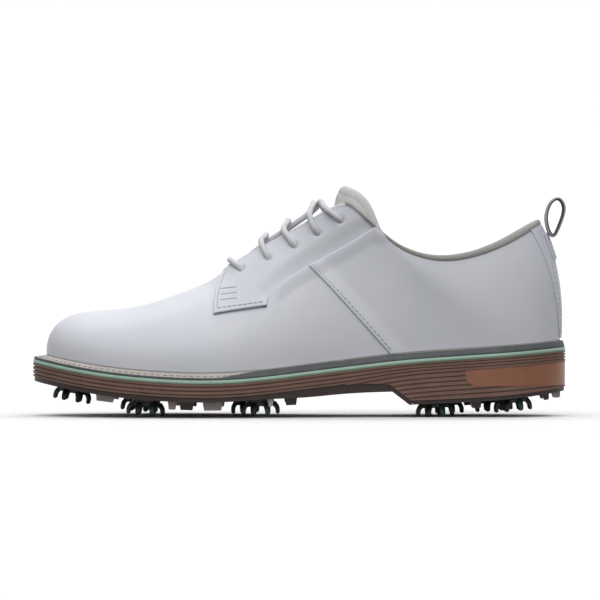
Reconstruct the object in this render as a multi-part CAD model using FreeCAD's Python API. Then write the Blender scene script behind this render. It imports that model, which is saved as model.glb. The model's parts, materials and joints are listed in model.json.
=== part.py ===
"""Left golf shoe: a plain-toe blucher on a welted sole with twist-in soft cleats and a heel pull loop.

Millimetres. The toe points along -X, the lateral side is -Y, +Z is up and the cleat tips stand on z = 0.
The upper is one doubly curved last surface. A station w runs round the sole edge, from 0 at the toe to
13 at the heel, negative on the lateral side and positive on the medial side. A rib at each station
climbs from the feather edge (t = 0) to the throat or topline (t = 1). Every leather panel, lining and
stiffener is a patch of that surface between two offsets.
"""
import FreeCAD, Part
import math
import os

Vector = FreeCAD.Vector

# Sole edge at the stations, x and y, toe to heel
LATERAL_EDGE = [
    (-152.5, 6), (-147, -14), (-131, -33), (-108, -46), (-80, -53), (-51, -54.5), (-22, -51),
    (7, -44), (36, -39), (65, -37.5), (94, -38), (121, -36), (143, -23), (152.5, 0),
]
MEDIAL_EDGE = [
    (-152.5, 6), (-146, 26), (-129, 41), (-106, 50), (-80, 54), (-52, 52), (-24, 44),
    (6, 34.5), (36, 31), (65, 33.5), (94, 37), (121, 35.5), (143, 23), (152.5, 0),
]
HEEL_STATION = 13
EDGE_INSET = ([0, 3, 8, 13], [8.0, 6.0, 5.0, 3.5])

# Feather line, where the leather meets the welt, and the layers hung below it
FEATHER = (
    [-152.5, -135.5, -113, -84, -56, -36, 0, 29, 57, 97, 137, 152.5],
    [36.4, 33.0, 29.2, 26.2, 25.0, 25.5, 29.2, 32.7, 35.9, 38.9, 42.0, 43.4],
)
WELT_HEIGHT = 4.0
BEAD_HEIGHT = 2.3
MIDSOLE_FRONT = 7.3
MIDSOLE_HEEL = 5.2
OUTSOLE_FRONT = 2.7
GROOVE_PITCH = 2.27
HEEL_GROOVE_PITCH = 2.6
GROOVE_WIDTH = 0.9
GROOVE_DEPTH = 0.9
RIM_STEPS = 52
FRONT_GROOVES = 3
HEEL_GROOVES = 6
HEEL_BREAST = (51.0, 63.0)
HEEL_WEDGE = ([26, 38, 51], [18.3, 18.9, 18.4])
WAIST_BOTTOM = ([-60, -30, 0, 30, 52.5], [8.2, 8.4, 10.8, 13.5, 14.4])
BREAST_STRIP_FOOT = [(62.2, 6.95), (64.05, 6.95), (62.45, 9.2)]
HEEL_BASE = ([58, 97, 125, 153], [9.2, 10.9, 13.1, 17.0])
OUTSOLE_HEEL = 2.3
EDGE_SETBACK = 0.8
INLAY_START = (93.6, 98.0)
INLAY_DEPTH = 2.2
INLAY_LOW = 17.4
INLAY_DROP = 12.1

# Throat and topline: station, x, half width, z
TOP_LINE = [
    (0, -121, 0, 59.3), (1, -114, 0, 60.1), (2, -103, 0, 61.0), (3, -87, 0, 63.3), (4, -68, 0, 69.9),
    (5, -51, 0, 77.2), (6, -34, 9, 88.0), (7, -13, 14, 100.0), (8, 8, 20, 112.3), (8.6, 20, 23.5, 119.0),
    (9, 27.5, 25.5, 120.3), (9.4, 34, 27.5, 115.8), (9.8, 42, 29.5, 108.5), (10.3, 54, 31.8, 98.0),
    (11, 76, 33.5, 89.8), (11.7, 99, 32.0, 92.0), (12.3, 118, 25.5, 99.3), (12.7, 130, 15.0, 106.0),
    (13, 137, 0, 110.0),
]
THROAT_STATION = 5.0
THROAT_ARCH = 0.34
THROAT_ARCH_LOW = 0.10
TOE_SHIFT = 6.0

# Rib handles: station, share of the way in, share of the way up, extra bulge
LOW_HANDLE = [
    (0, 0.0, 0.60, 1.0), (2, 0.0, 0.58, 1.5), (4, 0.0, 0.52, 2.0), (6, 0.0, 0.42, 2.0),
    (8, 0.0, 0.38, 2.0), (10, 0.1, 0.36, 2.5), (12, 0.2, 0.34, 3.5), (13, 0.2, 0.34, 4.0),
]
HIGH_HANDLE = [
    (0, 0.38, 0.965, 0.0), (2, 0.40, 0.97, 0.0), (4, 0.46, 0.99, 0.0), (6, 0.42, 0.86, 0.0),
    (8, 0.50, 0.76, 2.0), (10, 0.75, 0.70, 4.0), (12, 0.65, 0.70, 5.5), (13, 0.6, 0.70, 6.5),
]

# Upper: thicknesses and the gap left between layers
LEATHER = 1.6
LAYER_GAP = 0.2
FACING_THICKNESS = 1.7
PUFF_THICKNESS = 0.7
COUNTER_THICKNESS = 1.2
LINING_THICKNESS = 0.9
BINDING_START = 9.8
BINDING_HEIGHT = 2.4
COLLAR_FOAM = 3.2
TONGUE_DEPTH = 9.6
TONGUE_THICKNESS = 2.4
TONGUE_FOAM = 3.0

# Lace and its five pairs of eyelets
LACE_DIAMETER = 3.4
BAR_LIFT = 1.6
EYELET_STATIONS = (5.98, 6.66, 7.33, 7.95, 8.6)
BAR_STATIONS = (5.85, 6.66, 7.25, 7.95)
EYELET_INSET = 9.0
EYELET_RADIUS = 2.1
AGLET_RADIUS = 1.3
AGLET_LENGTH = 12.0

# Facing outline in side view
FACING_FRONT_EDGE = [(-48.8, 57.4), (-48.6, 66.0), (-46.5, 75.0), (-41.0, 84.5), (-36.0, 96.0)]
FACING_LOWER_EDGE = [
    (-18.2, 62.3), (-17.6, 66.5), (-14.2, 71.7), (-9.9, 75.4), (6.1, 85.2), (30.6, 99.3), (48.0, 110.0),
]

# Tongue: stations of its length, its shoulders and edges, and the crown and wings of its top
TONGUE_START = 5.6
TONGUE_TOP = 9.05
TONGUE_SHOULDER = 0.6
TONGUE_SHOULDER_T = 0.88
TONGUE_EDGE_T = 0.58
CROWN_START = 8.3
CROWN_HEIGHT = 3.2
CROWN_BULGE = 4.5
WING_REACH = 0.8

# Heel pull loop: centre line in side view, from its foot round the back and over the top
LOOP_LINE = [
    (145.3, 102.8), (147.6, 105.6), (149.6, 110.5), (151.3, 116.0), (151.0, 121.0), (148.2, 123.9),
    (144.6, 122.2), (142.3, 118.0), (141.4, 113.0), (142.0, 108.4), (143.2, 104.9),
]
LOOP_WIDTH = 11.0
WEBBING = 1.6

# Inside
BOARD_THICKNESS = 1.9
SHANK_SPAN = (-5, 95)
SHANK_WIDTH = 14.0
FOOTBED_THICKNESS = 5.0
COVER_THICKNESS = 0.9
BALL_X = -30

# Traction blocks: x, y, length, width, height and shade
LUGS = [
    (-109, -33, 11.5, 8, 3.6, "light"), (-109, 36, 11.5, 8, 3.6, "light"),
    (-71, -42, 6, 7, 4.6, "light"), (-71, 42, 6, 7, 4.6, "light"),
    (-63, -41, 9, 8, 4.6, "dark"), (-63, 41, 9, 8, 4.6, "dark"),
    (-48.5, -41, 12, 8, 4.8, "light"), (-48.5, 39, 12, 8, 4.8, "light"),
    (-16, -45.5, 4.5, 4.5, 4.2, "light"), (-4.5, -38, 8, 7, 4.0, "dark"), (-5, 26, 9, 7, 4.0, "dark"),
    (100, -31, 7, 6, 3.6, "dark"), (98, 30, 7, 6, 3.6, "dark"),
    (140, -16, 5, 6, 3.4, "dark"), (140, 16, 5, 6, 3.4, "dark"),
    (147, -5, 5, 8, 3.4, "light"), (146.5, 7, 5, 8, 3.4, "light"), (98.5, -17, 4, 7, 3.4, "light"),
]
RING = [(-1, -1), (1, -1), (1, 1), (-1, 1), (-1, -1)]

# Cleats: place on the sole, x and y
CLEATS = [
    (-129, 3), (-86, -30), (-92, 31), (-22, -31), (-29, 27),
    (77, -19), (84, 19), (121, -16), (112, 18),
]
CLEAT_RADIUS = 11.2
CLEAT_HEIGHT = 7.5
CLEAT_LEGS = 8
POST_RADIUS = 4.95
POST_HEIGHT = 4.2
POST_CLEARANCE = 0.05
SOCKET_RADIUS = 8.0
SOCKET_HEIGHT = 5.2
SOCKET_PROUD = 1.4
TOE_CLEAT_X = -120


def spline(knots, values):
    """Natural cubic spline through values at knots."""
    n = len(knots) - 1
    step = [knots[i + 1] - knots[i] for i in range(n)]
    bend, share = [0.0] * (n + 1), [0.0] * (n + 1)
    for i in range(1, n):
        pull = 6 * ((values[i + 1] - values[i]) / step[i] - (values[i] - values[i - 1]) / step[i - 1])
        pivot = 2 * (step[i - 1] + step[i]) - step[i - 1] * share[i - 1]
        share[i] = step[i] / pivot
        bend[i] = (pull - step[i - 1] * bend[i - 1]) / pivot
    for i in range(n - 1, 0, -1):
        bend[i] -= share[i] * bend[i + 1]

    def value(x):
        i = 0
        while i < n - 1 and x > knots[i + 1]:
            i += 1
        a, b = knots[i + 1] - x, x - knots[i]
        h = step[i]
        return (
            (bend[i] * a**3 + bend[i + 1] * b**3) / (6 * h)
            + (values[i] / h - bend[i] * h / 6) * a
            + (values[i + 1] / h - bend[i + 1] * h / 6) * b
        )

    return value


def closed_splines(knots, rows):
    """Splines of each column of rows, which repeat every turn of the shoe."""
    turn = 2 * HEEL_STATION
    before = [(k - turn, r) for k, r in zip(knots, rows) if 8 < k < HEEL_STATION]
    after = [(k + turn, r) for k, r in zip(knots, rows) if -HEEL_STATION < k < -8]
    whole = before + list(zip(knots, rows)) + after
    return [spline([k for k, _ in whole], [r[c] for _, r in whole]) for c in range(len(rows[0]))]


def both_sides(rows):
    """Rows given for stations 0 to 13, mirrored to the lateral stations. The first value is the station."""
    mirrored = [(-r[0],) + tuple(r[1:]) for r in reversed(rows[1:])]
    return mirrored + [tuple(r) for r in rows]


def wrap(w):
    turn = 2 * HEEL_STATION
    return (w + HEEL_STATION) % turn - HEEL_STATION


EDGE_KNOTS = list(range(-HEEL_STATION, HEEL_STATION + 1))
EDGE_X, EDGE_Y = closed_splines(EDGE_KNOTS, list(reversed(LATERAL_EDGE))[:-1] + MEDIAL_EDGE)
INSET = spline(*EDGE_INSET)
FEATHER_Z = spline(*FEATHER)
HEEL_BASE_Z = spline(*HEEL_BASE)
HEEL_WEDGE_Z = spline(*HEEL_WEDGE)
WAIST_BOTTOM_Z = spline(*WAIST_BOTTOM)
TOP_ROWS = both_sides(TOP_LINE)
TOP_X, TOP_Y, TOP_Z = closed_splines(
    [r[0] for r in TOP_ROWS], [(r[1], math.copysign(r[2], r[0]), r[3]) for r in TOP_ROWS]
)
LOW = [spline([r[0] for r in LOW_HANDLE], [r[c] for r in LOW_HANDLE]) for c in (1, 2, 3)]
HIGH = [spline([r[0] for r in HIGH_HANDLE], [r[c] for r in HIGH_HANDLE]) for c in (1, 2, 3)]


def smooth_step(low, high, x):
    q = min(1.0, max(0.0, (x - low) / (high - low)))
    return q * q * (3 - 2 * q)


def centre_y(x):
    """The shoe's centre line swings to the medial side towards the toe."""
    return TOE_SHIFT * (1 - smooth_step(-150, 20, x))


def edge(w, inset=0.0):
    """Point of the sole's plan outline, moved inwards, and its outward normal."""
    w = wrap(w)
    h = 0.02
    x, y = EDGE_X(w), EDGE_Y(w)
    dx, dy = EDGE_X(w + h) - EDGE_X(w - h), EDGE_Y(w + h) - EDGE_Y(w - h)
    size = math.hypot(dx, dy)
    nx, ny = -dy / size, dx / size
    return x - inset * nx, y - inset * ny, nx, ny


def top_point(w):
    w = wrap(w)
    x = TOP_X(w)
    y = 0.0 if abs(w) <= THROAT_STATION else TOP_Y(w)
    return Vector(x, y + centre_y(x), TOP_Z(w))


def rib(w, t):
    """Point of the last surface at station w and height t."""
    w = wrap(w)
    s = abs(w)
    x, y, nx, ny = edge(w, INSET(s))
    foot = Vector(x, y, FEATHER_Z(x))
    away = Vector(nx, ny, 0)
    along = Vector(-ny, nx, 0)
    span = top_point(w) - foot
    inward, lean, rise = span.dot(away), span.dot(along), span.z

    def handle(shares, lean_share):
        share_in, share_up, bulge = [f(s) for f in shares]
        return foot + away * (inward * share_in + bulge) + along * (lean * lean_share) + Vector(
            0, 0, rise * share_up
        )

    a, b = handle(LOW, 1 / 3), handle(HIGH, 2 / 3)
    q = 1 - t
    return foot * q**3 + a * (3 * q * q * t) + b * (3 * q * t * t) + top_point(w) * t**3


def normal(w, t):
    """Outward normal of the last surface."""
    s = abs(wrap(w))
    if t > 0.999 and s <= THROAT_STATION:
        ridge = top_point(s + 0.2) - top_point(max(0.0, s - 0.2))
        return Vector(-ridge.z, 0, ridge.x).normalize()
    h = 0.01
    low, high = (t - h, t) if t > 0.99 else (t, t + h)
    up = rib(w, high) - rib(w, low)
    round_shoe = rib(w + h, t) - rib(w - h, t)
    return up.cross(round_shoe).normalize()


def skin(w, t, offset):
    return rib(w, t) + normal(w, t) * offset


def knots_for(count, degree):
    spans = count - degree
    return [degree + 1] + [1] * (spans - 1) + [degree + 1], list(range(spans + 1))


def surface(grid):
    """Face of a clamped B-spline surface with these poles."""
    du, dv = min(3, len(grid) - 1), min(3, len(grid[0]) - 1)
    um, uk = knots_for(len(grid), du)
    vm, vk = knots_for(len(grid[0]), dv)
    made = Part.BSplineSurface()
    made.buildFromPolesMultsKnots(grid, um, vm, uk, vk, False, False, du, dv)
    return made.toShape()


def sewn(faces):
    shell = Part.makeShell(faces)
    shell.sewShape()
    solid = Part.makeSolid(shell)
    if solid.Volume < 0:
        solid.reverse()
    return solid


def block_faces(outer, inner, walls):
    """Outer and inner skins of a patch, and the named edge walls between them."""
    borders = {
        "start": (outer[0], inner[0]),
        "end": (outer[-1], inner[-1]),
        "low": ([r[0] for r in outer], [r[0] for r in inner]),
        "high": ([r[-1] for r in outer], [r[-1] for r in inner]),
    }
    return [surface(outer), surface(inner)] + [surface(list(borders[name])) for name in walls]


def grid(count_a, count_b, place):
    return [[place(i / count_a, j / count_b) for j in range(count_b + 1)] for i in range(count_a + 1)]


def value_at(offset, w, t):
    return offset(w, t) if callable(offset) else offset


def patch_faces(region, inner, outer, count_a, count_b, walls=("start", "end", "low", "high")):
    """Faces of a patch of the last surface. region turns two shares from 0 to 1 into w and t."""

    def layer(offset):
        def place(a, b):
            w, t = region(a, b)
            return skin(w, t, value_at(offset, w, t))

        return grid(count_a, count_b, place)

    return block_faces(layer(outer), layer(inner), walls)


def patch(region, inner, outer, count_a=14, count_b=8):
    return sewn(patch_faces(region, inner, outer, count_a, count_b))


def rectangle(w0, w1, t0, t1):
    return lambda a, b: (w0 + (w1 - w0) * a, t0 + (t1 - t0) * b)


def seam_station(t):
    """Station of the slanting seam between vamp and quarter."""
    return 8.55 - 1.65 * t


def hood(inner, outer, rear_station):
    """Cover of the whole forepart, closed over the ridge and open at the throat."""
    faces = []
    for side in (-1, 1):
        front = lambda a, b, side=side: (side * THROAT_STATION * a, b)
        rear = lambda a, b, side=side: (
            side * (THROAT_STATION + (rear_station(b) - THROAT_STATION) * a), b
        )
        faces += patch_faces(front, inner, outer, 24, 12, ("low",))
        faces += patch_faces(rear, inner, outer, 14, 12, ("end", "low", "high"))
    return sewn(faces)


def curve(points):
    made = Part.BSplineCurve()
    made.interpolate(points)
    return made.toShape()


def rim_row(side, inset, height):
    """Poles along one side of the sole, toe to heel, moved inwards, at a height given by x."""
    row = []
    for i in range(RIM_STEPS + 1):
        s = HEEL_STATION * i / RIM_STEPS
        x, y, _, _ = edge(side * s, inset(s) if callable(inset) else inset)
        row.append(Vector(x, y, height(x)))
    return row


def slab(profile, hollow=False):
    """Layer of the sole whose edge has this profile, a list of insets and heights from top to bottom.

    A hollow one is a ring, closed from its last corner back to its first.
    """
    rows = {side: [rim_row(side, inset, height) for inset, height in profile] for side in (-1, 1)}
    faces = []
    for side in (-1, 1):
        corners = rows[side] + (rows[side][:1] if hollow else [])
        faces += [surface([a, b]) for a, b in zip(corners, corners[1:])]
    if not hollow:
        faces += [surface([rows[-1][k], rows[1][k]]) for k in (0, -1)]
    return sewn(faces)


def inside_feather(inset):
    return lambda s: INSET(s) + inset


def profile_prism(edges):
    """Side profile in the XZ plane, carried across the whole width."""
    face = Part.Face(Part.Wire(edges))
    face.translate(Vector(0, -90, 0))
    return face.extrude(Vector(0, 180, 0))


def strip(low, high, x0=-156.0, x1=156.0, x0_low=None):
    """Band between two heights, given as functions of x, over a stretch of the length."""
    start = x0 if x0_low is None else x0_low
    count = 16

    def row(height, first):
        xs = [first + (x1 - first) * i / count for i in range(count + 1)]
        return [Vector(x, 0, height(x)) for x in xs]

    bottom, top = row(low, start), row(high, x0)
    edges = [
        curve(bottom),
        Part.makeLine(bottom[-1], top[-1]),
        curve(top),
        Part.makeLine(top[0], bottom[0]),
    ]
    return profile_prism(Part.__sortEdges__(edges))


def below_feather(drop):
    return lambda x: FEATHER_Z(x) - drop


def midsole_thickness(x):
    return MIDSOLE_FRONT + (MIDSOLE_HEEL - MIDSOLE_FRONT) * smooth_step(20, 70, x)


def midsole_bottom(x):
    return FEATHER_Z(x) - WELT_HEIGHT - BEAD_HEIGHT - midsole_thickness(x)


def outsole_bottom(x):
    plain = midsole_bottom(x) - OUTSOLE_FRONT
    return plain + (WAIST_BOTTOM_Z(x) - plain) * smooth_step(-30, 10, x)


def heel_bottom(x):
    return HEEL_BASE_Z(x) - OUTSOLE_HEEL


def tread(x):
    """Height of the walking surface."""
    return heel_bottom(x) if x > HEEL_BREAST[1] else outsole_bottom(x)


def grooves(height, first, pitch, count):
    """Corners of the horizontal grooves round a sole layer. height(x, drop) is a level below its top."""
    corners = []
    for i in range(count):
        for depth, share in ((0.0, 0.0), (GROOVE_DEPTH, 0.2), (GROOVE_DEPTH, 0.8), (0.0, 1.0)):
            drop = first + pitch * i + GROOVE_WIDTH * share
            corners.append((depth, lambda x, drop=drop: height(x, drop)))
    return corners


def midsole_level(x, drop):
    """Level in the midsole, whose grooves close up where it thins towards the heel."""
    return FEATHER_Z(x) - WELT_HEIGHT - BEAD_HEIGHT - drop * midsole_thickness(x) / MIDSOLE_FRONT


def heel_level(x, drop):
    return midsole_bottom(x) - drop


def make_welt():
    """Sloping strip that carries the welt stitching."""
    feather = inside_feather(-0.25)
    return slab(
        [
            (feather, below_feather(0.15)),
            (inside_feather(-1.6), below_feather(0.5)),
            (0.9, below_feather(WELT_HEIGHT - 0.9)),
            (0.9, below_feather(WELT_HEIGHT)),
            (12.5, below_feather(WELT_HEIGHT)),
            (12.5, below_feather(0.6)),
        ],
        hollow=True,
    )


def make_bead():
    """Coloured rounded bead between welt and midsole."""
    top, height = WELT_HEIGHT + 0.04, BEAD_HEIGHT
    return slab(
        [
            (0.7, below_feather(top)),
            (0.2, below_feather(top + 0.2 * height)),
            (0.0, below_feather(top + 0.5 * height)),
            (0.2, below_feather(top + 0.8 * height)),
            (0.6, below_feather(top + height)),
            (12.5, below_feather(top + height)),
            (12.5, below_feather(top)),
        ],
        hollow=True,
    )


def side_points(height, x0, x1, count=16):
    xs = [x0 + (x1 - x0) * i / count for i in range(count + 1)]
    return [Vector(x, 0, height(x)) for x in xs]


def heel_space(margin):
    """Side outline of the heel block: a wedge under the waist, the breast, then the base."""
    start = HEEL_WEDGE[0][0]
    wedge = side_points(lambda x: HEEL_WEDGE_Z(x) - margin, start, HEEL_BREAST[0], 6)
    base = side_points(lambda x: HEEL_BASE_Z(x) - margin, HEEL_BREAST[1], 156)
    top = side_points(lambda x: midsole_bottom(x) + 0.3, start, 156)
    edges = [curve(wedge), curve(base), curve(top)]
    edges += [Part.makeLine(a, b) for a, b in ((wedge[-1], base[0]), (base[-1], top[-1]), (top[0], wedge[0]))]
    return profile_prism(Part.__sortEdges__(edges))


def outsole_space():
    """Side outline of the outsole, which turns down the heel breast as a strip."""
    bottom = side_points(outsole_bottom, -156, WAIST_BOTTOM[0][-1], 24)
    foot = [Vector(x, 0, z) for x, z in BREAST_STRIP_FOOT]
    corners = [bottom[-1]] + foot + [Vector(foot[-1].x, 0, 60), Vector(-156, 0, 60), bottom[0]]
    edges = [curve(bottom)] + [Part.makeLine(a, b) for a, b in zip(corners, corners[1:])]
    return profile_prism(Part.__sortEdges__(edges))


def make_sole():
    bead_bottom = WELT_HEIGHT + BEAD_HEIGHT
    sockets = Part.makeCompound([socket_space(x, y) for x, y in CLEATS])
    lift_space = strip(
        lambda x: heel_bottom(x) - 0.5, HEEL_BASE_Z, HEEL_BREAST[1] - 0.4, x0_low=HEEL_BREAST[1] + 1.6
    )
    inlay_space = inlay_band(-1.0, INLAY_DEPTH, 0.0)
    midsole = slab(
        [(0.0, below_feather(bead_bottom + 0.08))]
        + grooves(midsole_level, 1.1, GROOVE_PITCH, FRONT_GROOVES)
        + [(0.0, midsole_bottom)]
    )
    outsole = slab(
        [(EDGE_SETBACK, lambda x: midsole_bottom(x) - 0.04), (EDGE_SETBACK, below_feather(32.0))]
    )
    heel = slab(
        [(0.0, lambda x: midsole_bottom(x) - 0.04)]
        + grooves(heel_level, 0.7, HEEL_GROOVE_PITCH, HEEL_GROOVES)
        + [(0.0, below_feather(29.0))]
    )
    lift = slab([(EDGE_SETBACK, lambda x: HEEL_BASE_Z(x) - 0.04), (EDGE_SETBACK, heel_bottom)])
    return {
        "welt": make_welt(),
        "welt_bead": make_bead(),
        "midsole": midsole.cut(sockets),
        "outsole": outsole.common(outsole_space()).cut(heel_space(0.04)).cut(sockets),
        "heel_block": heel.common(heel_space(0.0)).cut(sockets).cut(inlay_space),
        "heel_inlay": inlay_band(0.3, INLAY_DEPTH - 0.1, 0.12),
        "heel_top_lift": lift.common(lift_space).cut(sockets),
    }


def inlay_band(outer, inner, margin):
    """Band let into the sides and back of the heel block, with a chamfered front end."""
    low, high = (lambda x: INLAY_LOW + margin), (lambda x: FEATHER_Z(x) - INLAY_DROP - margin)
    band = slab([(outer, high), (outer, low), (inner, low), (inner, high)], hollow=True)
    x_top, x_low = INLAY_START[0] + margin, INLAY_START[1] + margin
    corners = [(x_low, INLAY_LOW - 2), (x_low, INLAY_LOW), (x_top, INLAY_LOW + 4), (x_top, 60), (170, 60),
               (170, INLAY_LOW - 2)]
    points = [Vector(x, 0, z) for x, z in corners]
    return band.common(profile_prism([Part.makeLine(a, b) for a, b in zip(points, points[1:] + points[:1])]))


def cleat_axis(x):
    """Direction out of the sole at x."""
    slope = (tread(x + 2) - tread(x - 2)) / 4
    return Vector(slope, 0, -1).normalize()


def cleat_seat(x, y):
    """Centre of a socket's face. The ball's sockets stand proud of the outsole."""
    proud = SOCKET_PROUD if TOE_CLEAT_X < x < HEEL_BREAST[0] else 0.0
    return Vector(x, y, tread(x)) + cleat_axis(x) * proud


def placed(shape, x, y):
    """Shape modelled with its axis down -Z from the origin, put on the sole at x and y."""
    made = shape.copy()
    turn = FreeCAD.Rotation(Vector(0, 0, -1), cleat_axis(x))
    made.Placement = FreeCAD.Placement(cleat_seat(x, y), turn).multiply(made.Placement)
    return made


def cylinder(radius, low, high):
    return Part.makeCylinder(radius, high - low, Vector(0, 0, low))


def socket_space(x, y):
    return placed(cylinder(SOCKET_RADIUS, -4.0, SOCKET_HEIGHT), x, y)


def make_socket():
    body = cylinder(SOCKET_RADIUS - 0.05, -0.4, SOCKET_HEIGHT - 0.05)
    return body.cut(cylinder(POST_RADIUS + POST_CLEARANCE, -1.0, POST_HEIGHT + 0.3))


def make_cleat_post():
    """Moulded hub with the locking post that turns in the socket."""
    post = cylinder(POST_RADIUS, -1.5, POST_HEIGHT)
    flange = cylinder(7.0, -1.9, -0.5)
    return post.fuse(flange).cut(cylinder(2.0, -2.5, -1.0)).removeSplitter()


def make_cleat_claw():
    """Ring of splayed legs moulded round the hub."""
    ring = cylinder(9.4, -2.6, -0.5).cut(cylinder(7.05, -3.0, 0.0))
    profile = [(7.3, -0.7), (9.2, -0.7), (CLEAT_RADIUS, -4.6), (CLEAT_RADIUS - 0.3, -CLEAT_HEIGHT),
               (CLEAT_RADIUS - 2.4, -CLEAT_HEIGHT), (7.3, -3.2)]
    wire = Part.makePolygon([Vector(r, -1.5, z) for r, z in profile + profile[:1]])
    leg = Part.Face(wire).extrude(Vector(0, 3.0, 0))
    legs = []
    for i in range(CLEAT_LEGS):
        turned = leg.copy()
        turned.rotate(Vector(), Vector(0, 0, 1), 360 / CLEAT_LEGS * (i + 0.5))
        legs.append(turned)
    return ring.fuse(legs).removeSplitter()


def make_cleats():
    parts = {}
    below_ground = Part.makeBox(400, 200, 20, Vector(-200, -100, -20))
    sockets = []
    for i, (x, y) in enumerate(CLEATS, 1):
        parts[f"cleat_{i}_post"] = placed(make_cleat_post(), x, y)
        parts[f"cleat_{i}_claw"] = placed(make_cleat_claw(), x, y).cut(below_ground)
        sockets.append(placed(make_socket(), x, y))
    parts["cleat_sockets"] = Part.makeCompound(sockets)
    return parts


def make_vamp():
    return hood(-LEATHER, 0.0, seam_station)


def make_quarter(side):
    def region(a, b):
        start = seam_station(b) + 0.03
        return side * (start + (HEEL_STATION - 0.01 - start) * a), b

    return patch(region, -LEATHER, 0.0, 26, 14)


def make_facing(side):
    """Lace stay: a tab at its front, then a band along the throat to the collar."""
    region = rectangle(side * 4.85, side * 9.85, 0.2, 1.0)
    band = patch(region, LAYER_GAP, LAYER_GAP + FACING_THICKNESS, 20, 9)
    lower = [Vector(x, 0, z) for x, z in FACING_LOWER_EDGE]
    front = [Vector(x, 0, z) for x, z in FACING_FRONT_EDGE]
    beyond = [front[-1], Vector(-30, 0, 140), Vector(60, 0, 140), lower[-1]]
    edges = [Part.makeLine(front[0], lower[0]), curve(lower), curve(front)]
    edges += [Part.makeLine(a, b) for a, b in zip(beyond, beyond[1:])]
    return band.common(profile_prism(Part.__sortEdges__(edges)))


def under_leather(*layers):
    """Depth below the outer surface, under the leather and the layers named."""
    return LEATHER + sum(layers) + LAYER_GAP * (len(layers) + 1)


def quarter_lining_depth(w, t):
    """The lining steps inwards over the collar foam."""
    collar = smooth_step(9.0, 9.8, abs(wrap(w))) * smooth_step(0.55, 0.70, t)
    return -under_leather(COUNTER_THICKNESS) - (COLLAR_FOAM - COUNTER_THICKNESS) * collar


def make_binding():
    """Tape that closes the top of the collar over the quarters, foam and lining."""
    inner = under_leather(COLLAR_FOAM) + LINING_THICKNESS + 0.2

    def layer(offset):
        def place(a, b):
            w = BINDING_START + 2 * (HEEL_STATION - BINDING_START) * a
            return skin(w, 1.0, offset) + Vector(0, 0, 0.15 + BINDING_HEIGHT * b)

        return grid(36, 3, place)

    return sewn(block_faces(layer(0.5), layer(-inner), ("start", "end", "low", "high")))


def make_linings():
    puff = under_leather(PUFF_THICKNESS)
    rear = 2 * HEEL_STATION
    foam = under_leather(COLLAR_FOAM)
    return {
        "toe_puff": patch(rectangle(-2.4, 2.4, 0.03, 0.88), LAYER_GAP - puff, -under_leather(), 24, 12),
        "vamp_lining": hood(-puff - LINING_THICKNESS, -puff, lambda t: 6.9 - 0.6 * t),
        "heel_counter": patch(
            rectangle(10.8, rear - 10.8, 0.03, 0.52), -under_leather() - COUNTER_THICKNESS, -under_leather(), 14, 6
        ),
        "quarter_lining": patch(
            rectangle(7.05, rear - 7.05, 0.03, 0.985),
            lambda w, t: quarter_lining_depth(w, t) - LINING_THICKNESS, quarter_lining_depth, 36, 12,
        ),
        "collar_padding": patch(
            rectangle(9.95, rear - 9.95, 0.73, 0.96), -foam, -foam + COLLAR_FOAM - 0.4, 36, 6
        ),
        "collar_binding": make_binding(),
        "heel_backstay": patch(rectangle(12.72, rear - 12.72, 0.02, 0.93), LAYER_GAP, LAYER_GAP + 0.9, 6, 14),
    }


def bridge(w, q, offset):
    """Point of the arch that closes the throat between the two facings. q runs from -1 to 1."""
    share = THROAT_ARCH_LOW + (THROAT_ARCH - THROAT_ARCH_LOW) * smooth_step(5.8, 6.8, w)
    rise = share * (top_point(w) - top_point(-w)).Length / 2
    h = 0.01

    def arch(station, across):
        low, high = top_point(-station), top_point(station)
        return low + (high - low) * ((across + 1) / 2) + Vector(0, 0, rise * (1 - across * across))

    across = arch(w, q + h) - arch(w, q - h)
    along = arch(w + h, q) - arch(w - h, q)
    return arch(w, q) + along.cross(across).normalize() * offset


def tongue_row(w, depth, count=16):
    """Poles across the tongue at one station: over the instep and down inside both facings.

    Towards its top the crown rises into the arch of the throat and the wings reach back along the collar.
    """
    rise = smooth_step(CROWN_START, TONGUE_TOP, w)
    crown = (TONGUE_DEPTH + CROWN_HEIGHT) * rise - depth
    wing = w + WING_REACH * rise
    shares = [-1.0, -TONGUE_SHOULDER, 0.0, TONGUE_SHOULDER, 1.0]
    corners = [
        skin(-wing, TONGUE_EDGE_T, -depth), skin(-wing, TONGUE_SHOULDER_T, -depth), bridge(w, 0, crown),
        skin(wing, TONGUE_SHOULDER_T, -depth), skin(wing, TONGUE_EDGE_T, -depth),
    ]
    ways = [spline(shares, [p[axis] for p in corners]) for axis in range(3)]
    row = []
    for j in range(count + 1):
        v = -1 + 2 * j / count
        bulge = CROWN_BULGE * rise * math.sin(math.pi * min(1, abs(v) / TONGUE_SHOULDER)) ** 2
        row.append(Vector(*[way(v) for way in ways]) + Vector(0.81, 0, 0.58) * bulge)
    return row


def tongue_sheet(depth, thickness, rows):
    outer, inner = ([tongue_row(w, d) for w in rows] for d in (depth, depth + thickness))
    return sewn(block_faces(outer, inner, ("start", "end", "low", "high")))


def make_tongue():
    foam = TONGUE_DEPTH + TONGUE_THICKNESS + 2 * LAYER_GAP
    rows = [TONGUE_START + (TONGUE_TOP - TONGUE_START) * i / 14 for i in range(15)]
    return {
        "tongue": tongue_sheet(TONGUE_DEPTH, TONGUE_THICKNESS, rows),
        "tongue_padding": tongue_sheet(foam, TONGUE_FOAM, rows[3:]),
    }


def eyelet(side, row):
    """Station and height of an eyelet."""
    w = EYELET_STATIONS[row]
    t = 1.0
    edge_point = rib(w, 1.0)
    while (rib(w, t) - edge_point).Length < EYELET_INSET:
        t -= 0.005
    return side * w, t


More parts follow.
